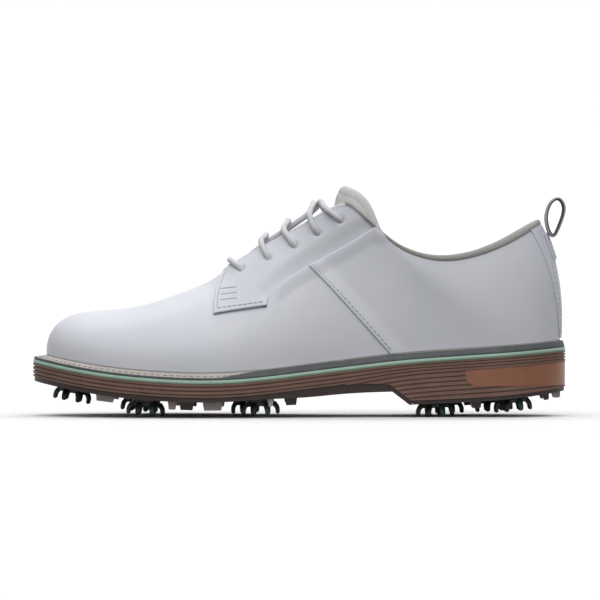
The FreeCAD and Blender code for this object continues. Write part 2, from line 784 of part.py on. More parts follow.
def eyelet_holes(side, radius, low, high):
    made = []
    for row in range(len(EYELET_STATIONS)):
        w, t = eyelet(side, row)
        made.append(Part.makeCylinder(radius, high - low, skin(w, t, low), normal(w, t)))
    return Part.makeCompound(made)


def make_eyelet_rings(side):
    depth = under_leather(COUNTER_THICKNESS) + LINING_THICKNESS + 0.25
    washers = eyelet_holes(side, EYELET_RADIUS + 1.3, -depth - 0.4, -depth)
    return washers.cut(eyelet_holes(side, EYELET_RADIUS, -12, 6))


def lace_route():
    """Corners of the lace's centre line, each with the largest bend radius it may take."""
    r = LACE_DIAMETER / 2
    above = LAYER_GAP + FACING_THICKNESS + r + 0.1
    below = -under_leather(COUNTER_THICKNESS) - LINING_THICKNESS - r - 0.8
    tight, free = 2.1, 30.0
    route = []

    def add(point, radius=free):
        route.append((point, radius))

    def through(side, row, outwards):
        w, t = eyelet(side, row)
        ends = [skin(w, t, below), skin(w, t, above)]
        for point in ends if outwards else reversed(ends):
            add(point, tight)

    def over_edge(side, w):
        return skin(side * w, 0.998, above + 0.5) + Vector(0, 0, BAR_LIFT * smooth_step(5.9, 6.8, w))

    def bar(row, start_side):
        """Visible run from one facing to the other, lifted clear of both edges."""
        w = BAR_STATIONS[row]
        add(over_edge(start_side, w))
        if row > 0:
            add(bridge(w + 0.1, start_side * 0.7, 2.9))
            add(bridge(w + 0.14, 0, 2.3))
            add(bridge(w + 0.1, -start_side * 0.7, 2.9))
        add(over_edge(-start_side, w))

    def diagonal(row):
        """Hidden run over the tongue, from the lateral eyelet above this row to its medial one."""
        w0, w1 = EYELET_STATIONS[row + 1], EYELET_STATIONS[row]
        for share, q in ((0.4, -0.8), (0.62, 0.0), (0.8, 0.8)):
            add(bridge(w0 + (w1 - w0) * share, q, below))

    def tuck(side):
        """End that leaves the top eyelet, dives under the fourth bar and lies along the throat."""
        y = side * 2.1
        points = []
        for w in (6.25, 6.8, 7.35, 7.95):
            half = top_point(w).y - centre_y(top_point(w).x)
            points.append(bridge(w, y / half, -1.7))
        points.append(bridge(8.12, side * 0.25, -0.6))
        points.append(bridge(8.3, side * 0.62, 2.9))
        points.append(over_edge(side, 8.36))
        return points

    for point in tuck(-1):
        add(point)
    through(-1, 4, False)
    for row in (3, 2, 1):
        diagonal(row)
        through(1, row, True)
        bar(row, 1)
        through(-1, row, False)
    through(-1, 0, True)
    bar(0, -1)
    through(1, 0, False)
    for w in (6.2, 6.9, 7.7, 8.3):
        add(skin(w, eyelet(1, 2)[1] - 0.075, below))
    through(1, 4, True)
    for point in reversed(tuck(1)):
        add(point)
    return route


def round_tube(route, radius):
    """Tube along straight runs joined by tangent arcs, with its centre line's length."""
    edges = []
    here = route[0][0]
    for (before, _), (corner, largest), (after, _) in zip(route, route[1:], route[2:]):
        into, out = (corner - before), (after - corner)
        turn = into.getAngle(out)
        shorter = min(into.Length, out.Length)
        bend = min(largest, 0.45 * shorter / math.tan(turn / 2))
        back = bend * math.tan(turn / 2)
        start = corner - into.normalize() * back
        end = corner + out.normalize() * back
        centre_way = (end - corner) + (start - corner)
        middle = corner + centre_way.normalize() * (bend / math.cos(turn / 2) - bend)
        edges.append(Part.LineSegment(here, start).toShape())
        edges.append(Part.Arc(start, middle, end).toShape())
        here = end
    edges.append(Part.LineSegment(here, route[-1][0]).toShape())
    spine = Part.Wire(edges)
    way = route[1][0] - route[0][0]
    section = Part.Wire(Part.Circle(route[0][0], way, radius).toShape())
    return spine.makePipeShell([section], True, True), spine.Length


def make_lace():
    route = lace_route()
    lace, length = round_tube(route, LACE_DIAMETER / 2)
    section = math.pi * LACE_DIAMETER**2 / 4
    print(f"lace length {length:.1f} mm, volume over section times length {lace.Volume / section / length:.4f}")
    parts = {"lace": lace}
    for name, end, beside in (("lateral", 0, 1), ("medial", -1, -2)):
        tip, before = route[end][0], route[beside][0]
        way = (tip - before).normalize()
        parts[f"lace_aglet_{name}"] = Part.makeCylinder(AGLET_RADIUS, AGLET_LENGTH, tip + way * 0.02, way)
    return parts


def make_footbed():
    """Insole board, cork filler, shank and the two halves of the foam footbed with their cover."""
    board_top = -BOARD_THICKNESS
    foam_low, foam_high = board_top - 0.05, board_top - FOOTBED_THICKNESS
    cover_low, cover_high = foam_high - 0.05, foam_high - COVER_THICKNESS
    board_edge, bed_edge = inside_feather(4.4), inside_feather(5.0)
    board = slab([(board_edge, below_feather(board_top)), (board_edge, below_feather(-0.05))])
    filler_low = WELT_HEIGHT + BEAD_HEIGHT - 0.02
    filler = slab([(12.6, below_feather(0.1)), (12.6, below_feather(filler_low))])
    across = Part.makeBox(300, SHANK_WIDTH, 100, Vector(-150, -SHANK_WIDTH / 2, -20))
    shank = strip(below_feather(3.6), below_feather(1.6), *SHANK_SPAN).common(across)
    foam = slab([(bed_edge, below_feather(foam_high)), (bed_edge, below_feather(foam_low))])
    cover = slab([(bed_edge, below_feather(cover_high)), (bed_edge, below_feather(cover_low))])
    front = strip(lambda x: 0, lambda x: 80, x1=BALL_X - 0.4)
    rear = strip(lambda x: 0, lambda x: 80, BALL_X + 0.4)
    return {
        "insole_board": board,
        "cork_filler": filler.cut(shank),
        "shank": shank,
        "footbed_front": foam.common(front),
        "footbed_cover_front": cover.common(front),
        "footbed_rear": foam.common(rear),
        "footbed_cover_rear": cover.common(rear),
    }


def make_lugs():
    """Fixed traction blocks of the tread, light and dark."""
    groups = {"light": [], "dark": []}
    for x, y, length, width, drop, shade in LUGS:
        top = Part.makePolygon([Vector(a * length / 2, b * width / 2, 3) for a, b in RING])
        low = Part.makePolygon([Vector(a * length / 2 - a * 1.2, b * width / 2 - b, -drop) for a, b in RING])
        block = Part.makeLoft([top, low], True, True)
        block.rotate(Vector(), Vector(0, 1, 0), math.degrees(math.atan2(-cleat_axis(x).x, 1)))
        block.translate(Vector(x, y, tread(x)))
        below = strip(lambda q: tread(q) - 30, lambda q: tread(q) - 0.03, x - 10, x + 10)
        groups[shade].append(block.common(below))
    return {f"traction_lugs_{shade}": Part.makeCompound(blocks) for shade, blocks in groups.items()}


def make_pull_loop():
    """Webbing loop stitched to the top of the backstay."""
    def ring(offset):
        points = []
        for i, (x, z) in enumerate(LOOP_LINE):
            x0, z0 = LOOP_LINE[i - 1]
            x1, z1 = LOOP_LINE[(i + 1) % len(LOOP_LINE)]
            size = math.hypot(x1 - x0, z1 - z0)
            away = Vector(z0 - z1, 0, x1 - x0) * (offset / size)
            points.append(Vector(x, -LOOP_WIDTH / 2, z) + away)
        made = Part.BSplineCurve()
        made.interpolate(Points=points, PeriodicFlag=True)
        return Part.Face(Part.Wire(made.toShape())).extrude(Vector(0, LOOP_WIDTH, 0))

    outer, inner = ring(WEBBING / 2), ring(-WEBBING / 2)
    if outer.Volume < inner.Volume:
        outer, inner = inner, outer
    loop = outer.cut(inner)
    tab = patch(rectangle(12.86, 13.14, 0.66, 0.82), 1.16, 1.16 + WEBBING, 4, 4)
    return {"pull_loop": loop, "pull_loop_tab": tab}


def build():
    parts = make_sole()
    parts.update(make_cleats())
    parts.update(make_lugs())
    parts.update(make_footbed())
    parts["vamp"] = make_vamp()
    for name, side in (("lateral", -1), ("medial", 1)):
        parts[f"quarter_{name}"] = make_quarter(side)
        parts[f"facing_{name}"] = make_facing(side)
        parts[f"eyelet_rings_{name}"] = make_eyelet_rings(side)
    parts.update(make_linings())
    parts.update(make_tongue())
    parts.update(make_lace())
    for name, side in (("lateral", -1), ("medial", 1)):
        holes = eyelet_holes(side, EYELET_RADIUS, -8, 6)
        for pierced in (f"quarter_{name}", f"facing_{name}", "quarter_lining", "vamp", "vamp_lining"):
            parts[pierced] = parts[pierced].cut(holes).cut(parts["lace"])
    parts.update(make_pull_loop())
    return parts


def main():
    os.makedirs("parts", exist_ok=True)
    for old in os.listdir("parts"):
        if old.endswith(".step"):
            os.remove(os.path.join("parts", old))
    for name, shape in build().items():
        if not shape.isValid():
            print("not valid:", name)
        shape.exportStep(f"parts/{name}.step")


main()
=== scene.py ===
"""Left golf shoe in a studio: detailed leather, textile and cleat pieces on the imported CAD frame."""
import json
import math
import bpy
import numpy as np
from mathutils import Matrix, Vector


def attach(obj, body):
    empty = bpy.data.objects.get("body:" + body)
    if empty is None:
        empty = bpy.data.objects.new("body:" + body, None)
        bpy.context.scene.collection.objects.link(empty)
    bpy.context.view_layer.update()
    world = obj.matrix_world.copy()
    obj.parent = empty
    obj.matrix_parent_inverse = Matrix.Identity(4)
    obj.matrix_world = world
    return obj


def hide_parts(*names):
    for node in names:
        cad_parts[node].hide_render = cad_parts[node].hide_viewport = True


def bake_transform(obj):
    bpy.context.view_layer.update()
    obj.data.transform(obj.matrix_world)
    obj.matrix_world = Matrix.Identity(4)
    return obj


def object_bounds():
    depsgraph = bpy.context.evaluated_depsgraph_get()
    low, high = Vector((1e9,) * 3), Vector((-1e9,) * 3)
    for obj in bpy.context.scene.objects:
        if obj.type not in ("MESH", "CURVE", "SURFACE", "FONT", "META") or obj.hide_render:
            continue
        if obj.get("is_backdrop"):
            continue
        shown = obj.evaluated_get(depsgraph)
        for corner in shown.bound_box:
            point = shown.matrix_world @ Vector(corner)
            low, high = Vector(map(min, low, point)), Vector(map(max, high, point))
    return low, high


MM = 0.001
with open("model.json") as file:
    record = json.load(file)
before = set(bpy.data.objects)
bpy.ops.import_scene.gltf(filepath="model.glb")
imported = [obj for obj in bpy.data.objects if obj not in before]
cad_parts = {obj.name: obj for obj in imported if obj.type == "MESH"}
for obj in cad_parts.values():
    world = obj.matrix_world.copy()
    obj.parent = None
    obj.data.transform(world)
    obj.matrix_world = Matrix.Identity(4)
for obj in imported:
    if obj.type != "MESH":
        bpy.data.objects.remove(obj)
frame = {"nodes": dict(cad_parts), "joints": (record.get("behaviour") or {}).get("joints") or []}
cad_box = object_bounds()
nodes = frame["nodes"]

# ------------------------------------------------------------
# The last surface of the CAD model, in millimetres, for arrays of stations w and heights t
# ------------------------------------------------------------
LATERAL_EDGE = [
    (-152.5, 6), (-147, -14), (-131, -33), (-108, -46), (-80, -53), (-51, -54.5), (-22, -51),
    (7, -44), (36, -39), (65, -37.5), (94, -38), (121, -36), (143, -23), (152.5, 0),
]
MEDIAL_EDGE = [
    (-152.5, 6), (-146, 26), (-129, 41), (-106, 50), (-80, 54), (-52, 52), (-24, 44),
    (6, 34.5), (36, 31), (65, 33.5), (94, 37), (121, 35.5), (143, 23), (152.5, 0),
]
HEEL = 13
TOP_LINE = [
    (0, -121, 0, 59.3), (1, -114, 0, 60.1), (2, -103, 0, 61.0), (3, -87, 0, 63.3), (4, -68, 0, 69.9),
    (5, -51, 0, 77.2), (6, -34, 9, 88.0), (7, -13, 14, 100.0), (8, 8, 20, 112.3), (8.6, 20, 23.5, 119.0),
    (9, 27.5, 25.5, 120.3), (9.4, 34, 27.5, 115.8), (9.8, 42, 29.5, 108.5), (10.3, 54, 31.8, 98.0),
    (11, 76, 33.5, 89.8), (11.7, 99, 32.0, 92.0), (12.3, 118, 25.5, 99.3), (12.7, 130, 15.0, 106.0),
    (13, 137, 0, 110.0),
]
THROAT = 5.0
LEATHER_THICK = 1.6
FACING_THICK = 1.7
COUNTER_THICK = 1.2
LINING_THICK = 0.9
LAYER_GAP = 0.2
LINING_DEPTH = LEATHER_THICK + COUNTER_THICK + 2 * LAYER_GAP
LOW_HANDLE = [
    (0, 0.0, 0.60, 1.0), (2, 0.0, 0.58, 1.5), (4, 0.0, 0.52, 2.0), (6, 0.0, 0.42, 2.0),
    (8, 0.0, 0.38, 2.0), (10, 0.1, 0.36, 2.5), (12, 0.2, 0.34, 3.5), (13, 0.2, 0.34, 4.0),
]
HIGH_HANDLE = [
    (0, 0.38, 0.965, 0.0), (2, 0.40, 0.97, 0.0), (4, 0.46, 0.99, 0.0), (6, 0.42, 0.86, 0.0),
    (8, 0.50, 0.76, 2.0), (10, 0.75, 0.70, 4.0), (12, 0.65, 0.70, 5.5), (13, 0.6, 0.70, 6.5),
]


def spline(knots, values):
    """Natural cubic spline that takes arrays."""
    k, v = np.array(knots, float), np.array(values, float)
    n = len(k) - 1
    h = np.diff(k)
    matrix, right = np.eye(n + 1), np.zeros(n + 1)
    for i in range(1, n):
        matrix[i, i - 1:i + 2] = h[i - 1], 2 * (h[i - 1] + h[i]), h[i]
        right[i] = 6 * ((v[i + 1] - v[i]) / h[i] - (v[i] - v[i - 1]) / h[i - 1])
    m = np.linalg.solve(matrix, right)

    def value(x):
        x = np.asarray(x, float)
        i = np.clip(np.searchsorted(k, x, "left") - 1, 0, n - 1)
        a, b, s = k[i + 1] - x, x - k[i], h[i]
        return ((m[i] * a**3 + m[i + 1] * b**3) / (6 * s)
                + (v[i] / s - m[i] * s / 6) * a + (v[i + 1] / s - m[i + 1] * s / 6) * b)

    return value


def closed(stations, rows):
    """Splines through rows of numbers at stations that run once round the sole."""
    turn = 2 * HEEL
    before = [(k - turn, r) for k, r in zip(stations, rows) if 8 < k < HEEL]
    after = [(k + turn, r) for k, r in zip(stations, rows) if -HEEL < k < -8]
    whole = before + list(zip(stations, rows)) + after
    return [spline([k for k, _ in whole], [r[c] for _, r in whole]) for c in range(len(rows[0]))]


EDGE_X, EDGE_Y = closed(list(range(-HEEL, HEEL + 1)), list(reversed(LATERAL_EDGE))[:-1] + MEDIAL_EDGE)
INSET = spline([0, 3, 8, 13], [8.0, 6.0, 5.0, 3.5])
FEATHER = spline([-152.5, -135.5, -113, -84, -56, -36, 0, 29, 57, 97, 137, 152.5],
                 [36.4, 33.0, 29.2, 26.2, 25.0, 25.5, 29.2, 32.7, 35.9, 38.9, 42.0, 43.4])
rows = [(-r[0],) + tuple(r[1:]) for r in reversed(TOP_LINE[1:])] + TOP_LINE
TOP_X, TOP_Y, TOP_Z = closed([r[0] for r in rows], [(r[1], math.copysign(r[2], r[0]), r[3]) for r in rows])
LOW = [spline([r[0] for r in LOW_HANDLE], [r[c] for r in LOW_HANDLE]) for c in (1, 2, 3)]
HIGH = [spline([r[0] for r in HIGH_HANDLE], [r[c] for r in HIGH_HANDLE]) for c in (1, 2, 3)]


def smooth(low, high, x):
    """Share from 0 to 1 that eases in and out between two limits."""
    q = np.clip((np.asarray(x, float) - low) / (high - low), 0, 1)
    return q * q * (3 - 2 * q)


def wrap(w):
    """Same station, brought between the two ends at the heel."""
    return (np.asarray(w, float) + HEEL) % (2 * HEEL) - HEEL


def stack(*parts):
    return np.stack(np.broadcast_arrays(*parts), -1)


def unit(v):
    return v / np.maximum(np.linalg.norm(v, axis=-1, keepdims=True), 1e-12)


def edge(w, inset=0.0):
    """Plan outline of the sole, moved inwards, with its outward normal."""
    w = wrap(w)
    h = 0.02
    dx, dy = EDGE_X(w + h) - EDGE_X(w - h), EDGE_Y(w + h) - EDGE_Y(w - h)
    size = np.hypot(dx, dy)
    nx, ny = -dy / size, dx / size
    return EDGE_X(w) - inset * nx, EDGE_Y(w) - inset * ny, nx, ny


def centre_y(x):
    return 6.0 * (1 - smooth(-150, 20, x))


def top_point(w):
    """Upper end of a rib: the ridge over the toe, then the edge of the throat and the topline."""
    w = wrap(w)
    x = TOP_X(w)
    y = np.where(np.abs(w) <= THROAT, 0.0, TOP_Y(w))
    return stack(x, y + centre_y(x), TOP_Z(w))


def rib(w, t):
    """Point of the last surface, t from 0 at the sole to 1 at the top edge."""
    w, t = np.broadcast_arrays(wrap(w), np.asarray(t, float))
    s = np.abs(w)
    x, y, nx, ny = edge(w, INSET(s))
    foot = stack(x, y, FEATHER(x))
    away, along = stack(nx, ny, 0 * nx), stack(-ny, nx, 0 * nx)
    top = top_point(w)
    span = top - foot
    inward = (span * away).sum(-1, keepdims=True)
    lean = (span * along).sum(-1, keepdims=True)

    def handle(shares, lean_share):
        share_in, share_up, bulge = [f(s)[..., None] for f in shares]
        up = np.zeros_like(foot)
        up[..., 2:] = span[..., 2:] * share_up
        return foot + away * (inward * share_in + bulge) + along * (lean * lean_share) + up

    a, b = handle(LOW, 1 / 3), handle(HIGH, 2 / 3)
    t = t[..., None]
    q = 1 - t
    return foot * q**3 + a * (3 * q * q * t) + b * (3 * q * t * t) + top * t**3


def normal(w, t):
    """Outward direction of the last surface."""
    w, t = np.broadcast_arrays(wrap(w), np.asarray(t, float))
    h = 0.01
    high = t > 0.99
    up = rib(w, np.where(high, t, t + h)) - rib(w, np.where(high, t - h, t))
    n = unit(np.cross(up, rib(w + h, t) - rib(w - h, t)))
    s = np.abs(w)
    ridge = top_point(s + 0.2) - top_point(np.maximum(0.0, s - 0.2))
    flat = unit(stack(-ridge[..., 2], 0 * s, ridge[..., 0]))
    on_ridge = ((t > 0.999) & (s <= THROAT))[..., None]
    return np.where(on_ridge, flat, n)


def skin(w, t, offset):
    """Point at a distance outside the last surface."""
    return rib(w, t) + normal(w, t) * np.asarray(offset, float)[..., None]


def from_side(x, z):
    """Stations and heights of the lateral surface that a side view shows at x and z."""
    x, z = np.broadcast_arrays(np.asarray(x, float), np.asarray(z, float))
    w, t = np.full(x.shape, -7.0), np.full(x.shape, 0.6)
    h = 0.001
    for _ in range(60):
        p = rib(w, t)
        pw, pt = (rib(w + h, t) - p) / h, (rib(w, t + h) - p) / h
        dx, dz = x - p[..., 0], z - p[..., 2]
        det = pw[..., 0] * pt[..., 2] - pt[..., 0] * pw[..., 2]
        det = np.where(np.abs(det) < 1e-6, 1e-6, det)
        w = w + np.clip((dx * pt[..., 2] - pt[..., 0] * dz) / det, -0.5, 0.5)
        t = t + np.clip((pw[..., 0] * dz - dx * pw[..., 2]) / det, -0.1, 0.1)
        t = np.clip(t, 0.0, 1.0)
    return w, t


def resample(points, count):
    """Evenly spaced points along a smooth curve through the given ones."""
    p = np.array(points, float)
    s = np.r_[0, np.cumsum(np.linalg.norm(np.diff(p, axis=0), axis=1))]
    at = np.linspace(0, s[-1], count)
    if len(p) < 3:
        return np.stack([np.interp(at, s, p[:, c]) for c in range(p.shape[1])], -1)
    return np.stack([spline(s, p[:, c])(at) for c in range(p.shape[1])], -1)


def near(points, line):
    """Distance of each point to a polyline's points."""
    flat = points.reshape(-1, 3)
    out = np.empty(len(flat))
    for i in range(0, len(flat), 4000):
        d = flat[i:i + 4000, None, :] - line[None, :, :]
        out[i:i + 4000] = np.sqrt((d * d).sum(-1).min(1))
    return out.reshape(points.shape[:-1])


def roll(d, radius):
    """Drop of a rounded edge, at a distance from it."""
    q = np.clip(radius - d, 0, radius)
    return np.sqrt(radius**2 - q**2) - radius


def groove(d, at, half_width, depth):
    """Rounded channel along an edge, at a distance from it."""
    return -depth * np.clip(1 - ((d - at) / half_width) ** 2, 0, 1) ** 2


# ------------------------------------------------------------
# Meshes
# ------------------------------------------------------------
def add(name, verts, faces, material, uvs=None):
    mesh = bpy.data.meshes.new(name)
    mesh.from_pydata((np.asarray(verts) * MM).tolist(), [], faces)
    if uvs is not None:
        layer = mesh.uv_layers.new(name="UVMap")
        loops = np.empty(len(mesh.loops), int)
        mesh.loops.foreach_get("vertex_index", loops)
        layer.data.foreach_set("uv", np.asarray(uvs, np.float32)[loops].ravel())
    mesh.polygons.foreach_set("use_smooth", np.full(len(mesh.polygons), True))
    mesh.update()
    made = bpy.data.objects.new(name, mesh)
    bpy.context.scene.collection.objects.link(made)
    for m in material if isinstance(material, (list, tuple)) else [material]:
        mesh.materials.append(m)
    return made


def sheet_faces(na, nb, start=0, close_a=False, close_b=False, flip=False):
    faces = []
    for i in range(na if close_a else na - 1):
        for j in range(nb if close_b else nb - 1):
            i1, j1 = (i + 1) % na, (j + 1) % nb
            f = (start + i * nb + j, start + i1 * nb + j, start + i1 * nb + j1, start + i * nb + j1)
            faces.append(f[::-1] if flip else f)
    return faces


def arc_uv(grid):
    """Lengths along both ways of a grid, in millimetres."""
    du = np.zeros(grid.shape[:2])
    dv = np.zeros(grid.shape[:2])
    du[1:] = np.cumsum(np.linalg.norm(np.diff(grid, axis=0), axis=-1), axis=0)
    dv[:, 1:] = np.cumsum(np.linalg.norm(np.diff(grid, axis=1), axis=-1), axis=1)
    return np.stack([du, dv], -1).reshape(-1, 2)


def thick(name, outer, inner, material):
    """Closed shell between two grids of the same size."""
    na, nb = outer.shape[:2]
    total = na * nb
    faces = sheet_faces(na, nb, flip=True) + sheet_faces(na, nb, total)
    ring = ([(i, 0) for i in range(na)] + [(na - 1, j) for j in range(1, nb)]
            + [(i, nb - 1) for i in range(na - 2, -1, -1)] + [(0, j) for j in range(nb - 2, 0, -1)])
    ids = [i * nb + j for i, j in ring]
    for a, b in zip(ids, ids[1:] + ids[:1]):
        faces.append((a, b, b + total, a + total))
    verts = np.concatenate([outer.reshape(-1, 3), inner.reshape(-1, 3)])
    uv = arc_uv(outer)
    return add(name, verts, faces, material, np.concatenate([uv, uv]))


STITCH_SIDES = 8
STITCH_SHAPE = [(0.0, 0.35), (0.06, 0.8), (0.2, 1.0), (0.8, 1.0), (0.94, 0.8), (1.0, 0.35)]


def along_line(values, lengths, at):
    """Value at a length along a line, for each of the three directions."""
    return np.array([np.interp(at, lengths, values[:, c]) for c in range(3)])


def stitches(name, path, up, material, length=2.3, gap=1.0, radius=0.27):
    """Row of thread stitches lying on a path, each a small rounded bar."""
    path, up = np.asarray(path, float), np.asarray(up, float)
    s = np.r_[0, np.cumsum(np.linalg.norm(np.diff(path, axis=0), axis=1))]
    count = max(1, int((s[-1] + gap) // (length + gap)))
    pitch = (s[-1] + gap) / count
    angle = np.linspace(0, 2 * np.pi, STITCH_SIDES, endpoint=False)
    verts, faces = [], []
    for k in range(count):
        for share, fat in STITCH_SHAPE:
            at = k * pitch + share * (pitch - gap)
            way = along_line(path, s, at + 0.1) - along_line(path, s, at - 0.1)
            n = unit(along_line(up, s, at))
            side = unit(np.cross(way, n))
            sink = -0.25 * radius if fat == 1.0 else -radius
            ring = np.cos(angle)[:, None] * side + np.sin(angle)[:, None] * n
            verts.append(along_line(path, s, at) + n * sink + radius * fat * ring)
        base = k * len(STITCH_SHAPE) * STITCH_SIDES
        last = base + (len(STITCH_SHAPE) - 1) * STITCH_SIDES
        faces += sheet_faces(len(STITCH_SHAPE), STITCH_SIDES, base, close_b=True)
        faces.append(tuple(range(base, base + STITCH_SIDES))[::-1])
        faces.append(tuple(range(last, last + STITCH_SIDES)))
    made = add(name, np.concatenate(verts), faces, material)
    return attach(made, "shoe")


# ------------------------------------------------------------
# Materials
# ------------------------------------------------------------
def srgb(r, g, b):
    return tuple((c / 255 / 12.92 if c / 255 <= 0.04045 else ((c / 255 + 0.055) / 1.055) ** 2.4)
                 for c in (r, g, b)) + (1.0,)


class Look:
    """Node material: two tones mixed by noise, varied roughness, and layers of bump."""

    def __init__(self, name, tone, other, rough=0.5, coords="Object", patch=60.0, spread=0.5):
        self.material = bpy.data.materials.new(name)
        self.material.use_nodes = True
        self.tree = self.material.node_tree
        self.shader = self.tree.nodes["Principled BSDF"]
        self.place = self.tree.nodes.new("ShaderNodeTexCoord").outputs[coords]
        noise = self.noise(patch, 4)
        mix = self.tree.nodes.new("ShaderNodeMix")
        mix.data_type = "RGBA"
        mix.inputs["A"].default_value = tone
        mix.inputs["B"].default_value = other
        self.link(self.ramp(noise, 0.5 - spread / 2, 0.5 + spread / 2), mix.inputs["Factor"])
        self.colour = mix.outputs["Result"]
        self.link(self.colour, self.shader.inputs["Base Color"])
        wear = self.tree.nodes.new("ShaderNodeMapRange")
        wear.inputs["To Min"].default_value = rough * 0.85
        wear.inputs["To Max"].default_value = min(1.0, rough * 1.15)
        self.link(self.noise(patch * 3.1, 3), wear.inputs["Value"])
        self.link(wear.outputs["Result"], self.shader.inputs["Roughness"])
        self.bumped = None

    def link(self, a, b):
        self.tree.links.new(a, b)

    def noise(self, scale, detail=2, place=None):
        n = self.tree.nodes.new("ShaderNodeTexNoise")
        n.inputs["Scale"].default_value = scale
        n.inputs["Detail"].default_value = detail
        self.link(place or self.place, n.inputs["Vector"])
        return n.outputs["Fac"]

    def ramp(self, value, low, high):
        m = self.tree.nodes.new("ShaderNodeMapRange")
        m.inputs["From Min"].default_value = low
        m.inputs["From Max"].default_value = high
        self.link(value, m.inputs["Value"])
        return m.outputs["Result"]

    def maths(self, kind, a, b=None):
        m = self.tree.nodes.new("ShaderNodeMath")
        m.operation = kind
        for socket, value in zip(m.inputs, (a, b)):
            if value is None:
                continue
            if isinstance(value, (int, float)):
                socket.default_value = value
            else:
                self.link(value, socket)
        return m.outputs["Value"]

    def axis(self, letter, place=None):
        s = self.tree.nodes.new("ShaderNodeSeparateXYZ")
        self.link(place or self.place, s.inputs["Vector"])
        return s.outputs[letter]

    def bump(self, height, distance, strength=1.0):
        b = self.tree.nodes.new("ShaderNodeBump")
        b.inputs["Distance"].default_value = distance
        b.inputs["Strength"].default_value = strength
        self.link(height, b.inputs["Height"])
        if self.bumped is not None:
            self.link(self.bumped, b.inputs["Normal"])
        self.bumped = b.outputs["Normal"]
        self.link(self.bumped, self.shader.inputs["Normal"])

    def cells(self, scale):
        v = self.tree.nodes.new("ShaderNodeTexVoronoi")
        v.feature = "DISTANCE_TO_EDGE"
        v.inputs["Scale"].default_value = scale
        self.link(self.place, v.inputs["Vector"])
        return v.outputs["Distance"]

    def weave(self, pitch_u, pitch_v):
        """Plain weave height from the piece's own lengths, in millimetres."""
        u = self.maths("MULTIPLY", self.axis("X"), 2 * math.pi / pitch_u)
        v = self.maths("MULTIPLY", self.axis("Y"), 2 * math.pi / pitch_v)
        over = self.maths("MULTIPLY", self.maths("SINE", u), self.maths("SINE", v))
        return self.maths("ABSOLUTE", over)

    def darken(self, height, low, high, tone):
        """Mixes in a darker tone where the height is low: painted shade in the hollows."""
        mix = self.tree.nodes.new("ShaderNodeMix")
        mix.data_type = "RGBA"
        mix.inputs["B"].default_value = tone
        self.link(self.colour, mix.inputs["A"])
        self.link(self.ramp(height, high, low), mix.inputs["Factor"])
        self.colour = mix.outputs["Result"]
        self.link(self.colour, self.shader.inputs["Base Color"])

    def set(self, **values):
        for name, value in values.items():
            self.shader.inputs[name.replace("_", " ")].default_value = value
        return self


def make_leather():
    look = Look("white_leather", srgb(222, 224, 231), srgb(214, 217, 225), 0.42, patch=25)
    look.bump(look.noise(45, 3), 0.0006, 0.25)
    look.bump(look.cells(1500), 0.00008, 0.35)
    look.bump(look.noise(3500, 2), 0.00004, 0.4)
    return look.set(Coat_Weight=0.12, Coat_Roughness=0.35, Specular_IOR_Level=0.45).material


def make_woven(name, tone, other, pitch, depth=0.00025, shade=0.72):
    look = Look(name, srgb(*tone), srgb(*other), 0.85, coords="UV", patch=0.9)
    height = look.weave(pitch, pitch * 1.3)
    # Painted shade: the weave's low points get a darker copy of the tone, the tone times shade.
    look.darken(height, 0.0, 0.6, srgb(*[c * shade for c in tone]))
    look.bump(height, depth, 0.8)
    return look.set(Sheen_Weight=0.2).material


def make_rubber(name, tone, other, rough=0.6, grain=900, depth=0.00008, patch=120):
    look = Look(name, srgb(*tone), srgb(*other), rough, patch=patch)
    look.bump(look.noise(grain, 3), depth, 0.5)
    look.bump(look.noise(70, 2), 0.0003, 0.15)
    return look.material


def make_metal():
    look = Look("matt_metal", srgb(190, 190, 192), srgb(165, 165, 170), 0.35)
    look.bump(look.noise(1500, 2), 0.00003, 0.3)
    return look.set(Metallic=1.0).material


LEATHER = make_leather()
THREAD = make_woven("thread", (214, 216, 222), (190, 193, 200), 0.5)
THREAD_DARK = make_woven("thread_grey", (140, 142, 152), (122, 124, 134), 0.5)
WELT_THREAD = make_woven("thread_welt", (202, 198, 190), (186, 182, 174), 0.5)
BINDING = make_woven("binding_tape", (212, 211, 207), (196, 195, 191), 0.55, shade=0.85)
LOOP_OUT = make_woven("webbing_light", (214, 214, 210), (196, 196, 192), 1.1, depth=0.0004, shade=0.82)
LOOP_IN = make_woven("webbing_dark", (84, 84, 84), (66, 66, 68), 1.1, depth=0.0004)
MESH = make_woven("tongue_mesh", (238, 238, 237), (224, 224, 223), 1.3, depth=0.0003, shade=0.86)
LINING = make_woven("lining_cloth", (200, 200, 198), (184, 184, 184), 0.9)
COVER = make_woven("footbed_cloth", (150, 152, 154), (128, 130, 132), 1.0)
LACE = make_woven("lace_braid", (243, 243, 247), (232, 233, 239), 0.9, depth=0.0001, shade=0.88)
WELT = make_rubber("welt_grey", (198, 191, 186), (180, 173, 167), 0.55)
# Dark grey for the sheet over the welt: partly a rand, partly painted shade in the welt's recess and under
# the upper.
RAND_AND_SHADE = make_rubber("rand_and_painted_shade", (88, 92, 92), (72, 77, 77), 0.6)
MINT = make_rubber("mint_bead", (168, 201, 182), (152, 186, 166), 0.38, depth=0.00003)
BROWN = make_rubber("midsole_brown", (133, 104, 91), (118, 90, 78), 0.62)
TAN = make_rubber("inlay_tan", (168, 112, 84), (140, 88, 62), 0.42, grain=500, patch=35)
DARK = make_rubber("outsole_dark", (52, 38, 33), (40, 29, 26), 0.55)
LUG_LIGHT = make_rubber("lug_light", (222, 212, 206), (200, 188, 182), 0.5)
LUG_DARK = make_rubber("lug_dark", (54, 44, 42), (40, 34, 33), 0.5)
CLEAT_GREEN = make_rubber("cleat_green", (54, 84, 70), (42, 68, 56), 0.4, depth=0.00004)
CLEAT_BLACK = make_rubber("cleat_black", (30, 32, 32), (22, 23, 24), 0.4, depth=0.00004)
METAL = make_metal()
BOARD = make_rubber("leather_board", (170, 140, 104), (150, 120, 86), 0.8)
FOAM = make_rubber("foam", (90, 92, 96), (76, 78, 82), 0.9)


